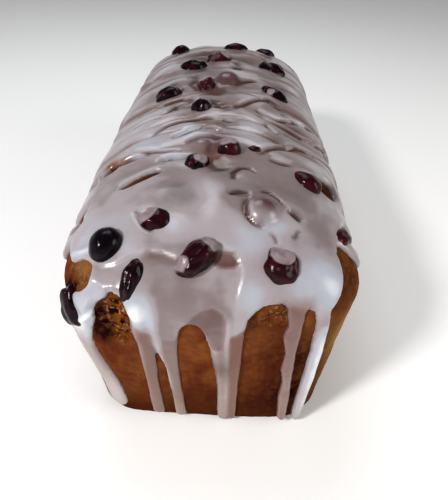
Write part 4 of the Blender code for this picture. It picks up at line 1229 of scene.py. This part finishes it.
def make_icing(plans, finish):
    """The poured icing: its upper side, its round lip and an underside within the crust."""
    triangles, points, normals, cover = cut_icing()
    relief = loaf_relief(points)
    depth = icing_depth(points)
    fields = {"whiteness_and_light": icing_whiteness_and_light(points, depth), "sheer_and_shade": icing_sheer_and_shade(points)}
    # The fruit values hold cherries under the icing and painted shade in hollows between cherries.
    fields["fruit"] = np.clip(spots_at(points, FRUIT_AND_SHADE_SPOTS), 0, 1)
    for plan in plans:
        if plan["iced"]:
            film = film_height(points, normals, plan)
            depth = np.where(film > NO_FILM, smooth_max(depth, film, FILM_FILLET), depth)
    share = np.clip(cover / ICING_LIP, 0, 1)
    lip = np.sqrt(1 - (1 - share) ** 2)
    edge = cover <= CUT_CLEARANCE / 2
    height = np.where(edge, -ICING_UNDERSIDE, depth * lip)
    top = points + normals * (relief + height)[:, None]
    under = points + normals * (relief - ICING_UNDERSIDE)[:, None]

    lower = np.arange(len(points))
    inner = ~edge
    lower[inner] = len(points) + np.arange(inner.sum())
    everything = np.concatenate([top, under[inner]])
    faces = np.concatenate([triangles, lower[triangles][:, ::-1]])
    fields = {name: np.concatenate([field, field[inner]]) for name, field in fields.items()}
    made = mesh_object("poured_icing", everything, faces, fields)
    group_points(made, "underside", range(len(points), len(everything)))
    thin_to(made, ICING_MOST_TRIANGLES, "underside")
    made.data.materials.append(finish)
    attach(made, "root")
    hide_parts("icing")


def pore_depth(points):
    """Depth of the pinholes, one in some of the cells of a loose pattern."""
    found = np.zeros(len(points))
    for number, point in enumerate(points):
        distances, centres = noise.voronoi(Vector(point) / PORE_SIZE)
        centre = centres[0]
        angle = sum(value * step for value, step in zip(centre, PORE_HASH))
        draw = (math.sin(angle) * PORE_HASH_GAIN) % 1
        radius = PORE_RADIUS * (0.5 + draw)
        if draw > PORE_LEAST_DRAW and distances[0] < radius:
            found[number] = (1 - (distances[0] / radius) ** 2) * draw
    return found


def crust_relief(points, crag):
    """How far the crust stands out, with its rolls, grain, pinholes and crumb."""
    relief = loaf_relief(points)
    relief += CRUST_ROLL * noise_at(points, CRUST_ROLL_SIZE, ROLL_NOISE)
    relief += CRUST_GRAIN * noise_at(points, CRUST_GRAIN_SIZE, GRAIN_NOISE)
    relief -= PORE_DEPTH * pore_depth(points) * (1 - crag)
    relief += CRUMB_DEPTH * crag * (noise_at(points, CRUMB_SIZE, CRUMB_NOISE) - CRUMB_SINK)
    return np.where(points[:, 2] <= 0, 0, relief)


def make_crust(finish):
    """The whole loaf with its flat base."""
    points, quads, last_ring = loaf_grid(
        lambda x: np.full_like(x, CRUST_CELL), crust_cell, CRUST_CELL, 0.0
    )
    normals = outward(points, quads)
    crag = np.clip(crag_share(points) + spots_at(points, CRUMBS), 0, 1)
    relief = crust_relief(points, crag)
    normals[:, 2] = np.where(points[:, 2] <= 0, 0, normals[:, 2])
    points = points + normals * relief[:, None]
    fields = {"crag": crag, "juice_and_shade": np.clip(spots_at(points, JUICE_AND_SHADE_SPOTS), 0, 1)}
    fields["golden_and_bounce"] = np.clip(spots_at(points, GOLDEN_AND_BOUNCE_SPOTS), 0, 1)
    faces = list(quads) + [last_ring[::-1]]
    made = mesh_object("browned_crust", points, faces, fields)
    thin_to(made, CRUST_MOST_TRIANGLES)
    made.data.materials.append(finish)
    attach(made, "root")
    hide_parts("loaf")


# ---------------------------------------------------------------- finishes


class Finish:
    """A node material, with short ways to add and join its nodes."""

    def __init__(self, name):
        self.material = bpy.data.materials.new(name)
        self.material.use_nodes = True
        self.tree = self.material.node_tree
        self.shader = self.tree.nodes["Principled BSDF"]
        self.shader.inputs["Metallic"].default_value = 0
        self.coordinates = self.tree.nodes.new("ShaderNodeTexCoord").outputs["Object"]

    def plug(self, node, values):
        """Gives a node's inputs values or links, by the inputs' names or numbers."""
        for name, value in values.items():
            if isinstance(value, bpy.types.NodeSocket):
                self.tree.links.new(value, node.inputs[name])
            else:
                node.inputs[name].default_value = value

    def set(self, values):
        self.plug(self.shader, values)

    def noise(self, size, detail=2, roughness=0.5, stretch=None):
        """Noise whose features have the given size, from 0 to 1."""
        node = self.tree.nodes.new("ShaderNodeTexNoise")
        place = self.stretched(stretch) if stretch else self.coordinates
        self.plug(node, {"Vector": place, "Scale": 1 / size})
        self.plug(node, {"Detail": detail, "Roughness": roughness})
        return node.outputs["Fac"]

    def stretched(self, stretch):
        node = self.tree.nodes.new("ShaderNodeMapping")
        self.plug(node, {"Vector": self.coordinates, "Scale": stretch})
        return node.outputs["Vector"]

    def pattern(self, name, stretch=None):
        """One of the noise patterns in the table."""
        size, detail, roughness, low, high, new_low, new_high = PATTERNS[name]
        grain = self.noise(size * MM, detail, roughness, stretch)
        return self.ranged(grain, low, high, new_low, new_high)

    def stored(self, name):
        """The values that the mesh has under this name."""
        node = self.tree.nodes.new("ShaderNodeAttribute")
        node.attribute_name = name
        return node.outputs["Fac"]

    def ranged(self, value, low, high, new_low=0.0, new_high=1.0):
        """Turns the span from low to high into the new one, smoothly at both ends."""
        node = self.tree.nodes.new("ShaderNodeMapRange")
        node.interpolation_type = "SMOOTHSTEP"
        self.plug(node, {"Value": value, "From Min": low, "From Max": high})
        self.plug(node, {"To Min": new_low, "To Max": new_high})
        return node.outputs["Result"]

    def maths(self, operation, first, second):
        node = self.tree.nodes.new("ShaderNodeMath")
        node.operation = operation
        self.plug(node, {0: first, 1: second})
        return node.outputs[0]

    def mixed(self, share, first, second):
        """A colour between two others. The Mix node's colours are its inputs 6 and 7."""
        node = self.tree.nodes.new("ShaderNodeMix")
        node.data_type = "RGBA"
        self.plug(node, {0: share, 6: first, 7: second})
        return node.outputs[2]

    def height(self):
        """Height above the floor."""
        node = self.tree.nodes.new("ShaderNodeSeparateXYZ")
        self.plug(node, {0: self.coordinates})
        return node.outputs["Z"]

    def uneven(self, name):
        """A normal made uneven by one of the grains in the table."""
        size, detail, roughness, height, strength = GRAINS[name]
        grain = self.noise(size * MM, detail, roughness)
        node = self.tree.nodes.new("ShaderNodeBump")
        self.plug(node, {"Height": grain, "Distance": height * MM, "Strength": strength})
        return node.outputs["Normal"]


def icing_finish():
    """Tones by whiteness with painted light, a painted warm bounce light at the foot, and what
    shows through where it is sheer, with painted shade in hollows.
    """
    made = Finish("poured_icing")
    cloudy = made.maths("ADD", made.pattern("icing_drift"), made.pattern("icing_cloud"))
    share = made.maths("ADD", made.stored("whiteness_and_light"), cloudy)
    low, colour = ICING_TONES[0]
    for high, tone in ICING_TONES[1:]:
        colour = made.mixed(made.ranged(share, low, high), colour, tone)
        low = high
    # Painted warm bounce light low on the icing.
    warm_bounce = made.ranged(made.height(), 0, WARM_BOUNCE_TOP, WARM_BOUNCE_SHARE, 0.0)
    colour = made.mixed(warm_bounce, colour, PAINTED_WARM_BOUNCE)
    # Brown where the crust shows through, and painted shade in hollows.
    colour = made.mixed(made.stored("sheer_and_shade"), colour, SHEER_AND_SHADE_TONE)
    # Plum where a cherry shows through, and painted shade in hollows.
    colour = made.mixed(made.stored("fruit"), colour, FRUIT_AND_SHADE_TONE)
    made.set({"Base Color": colour, "Normal": made.uneven("icing")})
    made.set({"Roughness": 0.32, "Specular IOR Level": 0.4})
    made.set({"Subsurface Weight": 0.3, "Subsurface Scale": 1.2 * MM})
    made.set({"Subsurface Radius": (1.0, 0.85, 0.85)})
    made.set({"Coat Weight": 0.3, "Coat Roughness": 0.14})
    return made.material


def crust_finish():
    """Browns in patches and streaks, then the golden places with a painted warm bounce light, the
    torn crumb with painted shade in its holes and painted glints, and juice stains with painted
    shade.
    """
    made = Finish("browned_crust")
    colour = made.mixed(made.pattern("brown_patches"), DEEP_BROWN, BROWN)
    streaks = made.pattern("orange_streaks", STREAK_STRETCH)
    colour = made.mixed(streaks, colour, ORANGE_STREAK)
    colour = made.mixed(made.pattern("dark_grain"), colour, DARK_GRAIN)
    foot = made.ranged(made.height(), *BAKED_FOOT_HEIGHTS, BAKED_FOOT_SHARE, 0.0)
    colour = made.mixed(foot, colour, BAKED_FOOT)
    # Golden crust, and a painted warm bounce light on the right side wall.
    golden_and_bounce = made.maths("MULTIPLY", made.stored("golden_and_bounce"), made.pattern("golden_patches"))
    colour = made.mixed(golden_and_bounce, colour, GOLDEN_AND_BOUNCE_TONE)
    # The crumb's dark holes are painted shade in its hollows.
    crumb = made.mixed(made.pattern("crumb_hole_shade"), CRUMB_HOLE_SHADE, CRUMB_BROWN)
    # Light specks on the crumb are painted glints.
    crumb = made.mixed(made.pattern("painted_crumb_glints"), crumb, PAINTED_CRUMB_GLINT)
    colour = made.mixed(made.stored("crag"), colour, crumb)
    # Juice stains, and painted shade in the torn corner and under the icing's lip.
    juice_and_shade = made.maths("MULTIPLY", made.stored("juice_and_shade"), made.pattern("juice_patches"))
    colour = made.mixed(juice_and_shade, colour, JUICE_AND_SHADE_TONE)
    made.set({"Base Color": colour, "Normal": made.uneven("crust")})
    made.set({"Roughness": made.pattern("crust_roughness"), "Specular IOR Level": 0.0})
    return made.material


def cherry_finish():
    """A nearly black skin, red where light gets in, cloudy under a film, whitish under painted
    glints, and beaded with wet.
    """
    made = Finish("dark_cherry")
    redder = made.maths("ADD", made.pattern("red_patches"), made.stored("red"))
    skin = made.mixed(made.maths("MAXIMUM", redder, 0.0), DARK_SKIN, RED_SKIN)
    # The film values hold films of icing and painted glints.
    film = made.stored("film")
    cloudy = made.mixed(made.noise(FILM_CLOUD), THIN_FILM, CLOUDY_FILM)
    cloudy = made.mixed(made.ranged(film, *FILM_THICK), cloudy, THICK_FILM_AND_GLINT)
    colour = made.mixed(made.ranged(film, *FILM_SHOWS), skin, cloudy)
    made.set({"Base Color": colour, "Normal": made.uneven("cherry")})
    made.set({"Roughness": 0.14, "Specular IOR Level": 0.09})
    made.set({"Coat Weight": 0.05, "Coat Roughness": 0.04})
    made.set({"Coat Normal": made.uneven("beads")})
    return made.material


def floor_finish():
    made = Finish("pale_floor")
    colour = made.mixed(made.noise(FLOOR_PATCH), *FLOOR_TONES)
    made.set({"Base Color": colour, "Roughness": 0.7})
    made.set({"Emission Color": (1, 1, 1, 1), "Emission Strength": FLOOR_GLOW})
    return made.material


# ---------------------------------------------------------------- floor, light and camera


def make_floor():
    corners = FLOOR_HALF_SIZE * np.array([(-1, -1, 0), (1, -1, 0), (1, 1, 0), (-1, 1, 0)])
    floor = mesh_object("floor", corners, np.array([[0, 1, 2, 3]]))
    floor.data.materials.append(floor_finish())


def area_light(name, place, target, size, power, colour):
    data = bpy.data.lights.new(name, "AREA")
    data.shape = "DISK"
    data.size = size
    data.energy = power
    data.color = colour
    light = bpy.data.objects.new(name, data)
    light.location = place
    light.rotation_euler = (Vector(target) - Vector(place)).to_track_quat("-Z", "Y").to_euler()
    bpy.context.scene.collection.objects.link(light)


def make_light():
    for name, values in LAMPS.items():
        area_light(name, *values)
    world = bpy.data.worlds.new("room")
    world.use_nodes = True
    tree = world.node_tree
    direction = tree.nodes.new("ShaderNodeTexCoord").outputs["Generated"]
    height = tree.nodes.new("ShaderNodeSeparateXYZ")
    tree.links.new(direction, height.inputs[0])
    strength = tree.nodes.new("ShaderNodeMapRange")
    tree.links.new(height.outputs["Z"], strength.inputs["Value"])
    spans = zip(("From Min", "From Max", "To Min", "To Max"), ROOM_HEIGHTS + ROOM_STRENGTHS)
    for name, value in spans:
        strength.inputs[name].default_value = value
    tree.links.new(strength.outputs["Result"], tree.nodes["Background"].inputs["Strength"])
    tree.nodes["Background"].inputs["Color"].default_value = (1.0, 1.0, 1.0, 1)
    bpy.context.scene.world = world
    bpy.context.scene.view_settings.view_transform = "Standard"


def make_camera():
    data = bpy.data.cameras.new("photo_camera")
    data.sensor_width = SENSOR
    data.lens = FOCAL_PIXELS * SENSOR / PHOTO_HEIGHT
    data.clip_start = NEAREST_SEEN
    pitch, yaw, roll = CAMERA_PITCH, CAMERA_YAW, CAMERA_ROLL
    forward = Vector(
        (-math.sin(yaw) * math.cos(pitch), math.cos(yaw) * math.cos(pitch), -math.sin(pitch))
    )
    level = Vector((math.cos(yaw), math.sin(yaw), 0))
    upright = level.cross(forward)
    right = level * math.cos(roll) + upright * math.sin(roll)
    up = upright * math.cos(roll) - level * math.sin(roll)
    camera = bpy.data.objects.new("photo_camera", data)
    turned = Matrix((right, up, -forward)).transposed().to_4x4()
    camera.matrix_world = Matrix.Translation(CAMERA_PLACE) @ turned
    bpy.context.scene.collection.objects.link(camera)
    bpy.context.scene.camera = camera


def main():
    make_camera()
    make_light()
    make_floor()
    plans = [cherry_plan(row) for row in CHERRIES]
    make_crust(crust_finish())
    make_icing(plans, icing_finish())
    fruit = cherry_finish()
    for number, plan in enumerate(plans, start=1):
        make_cherry(number, plan, fruit)


main()
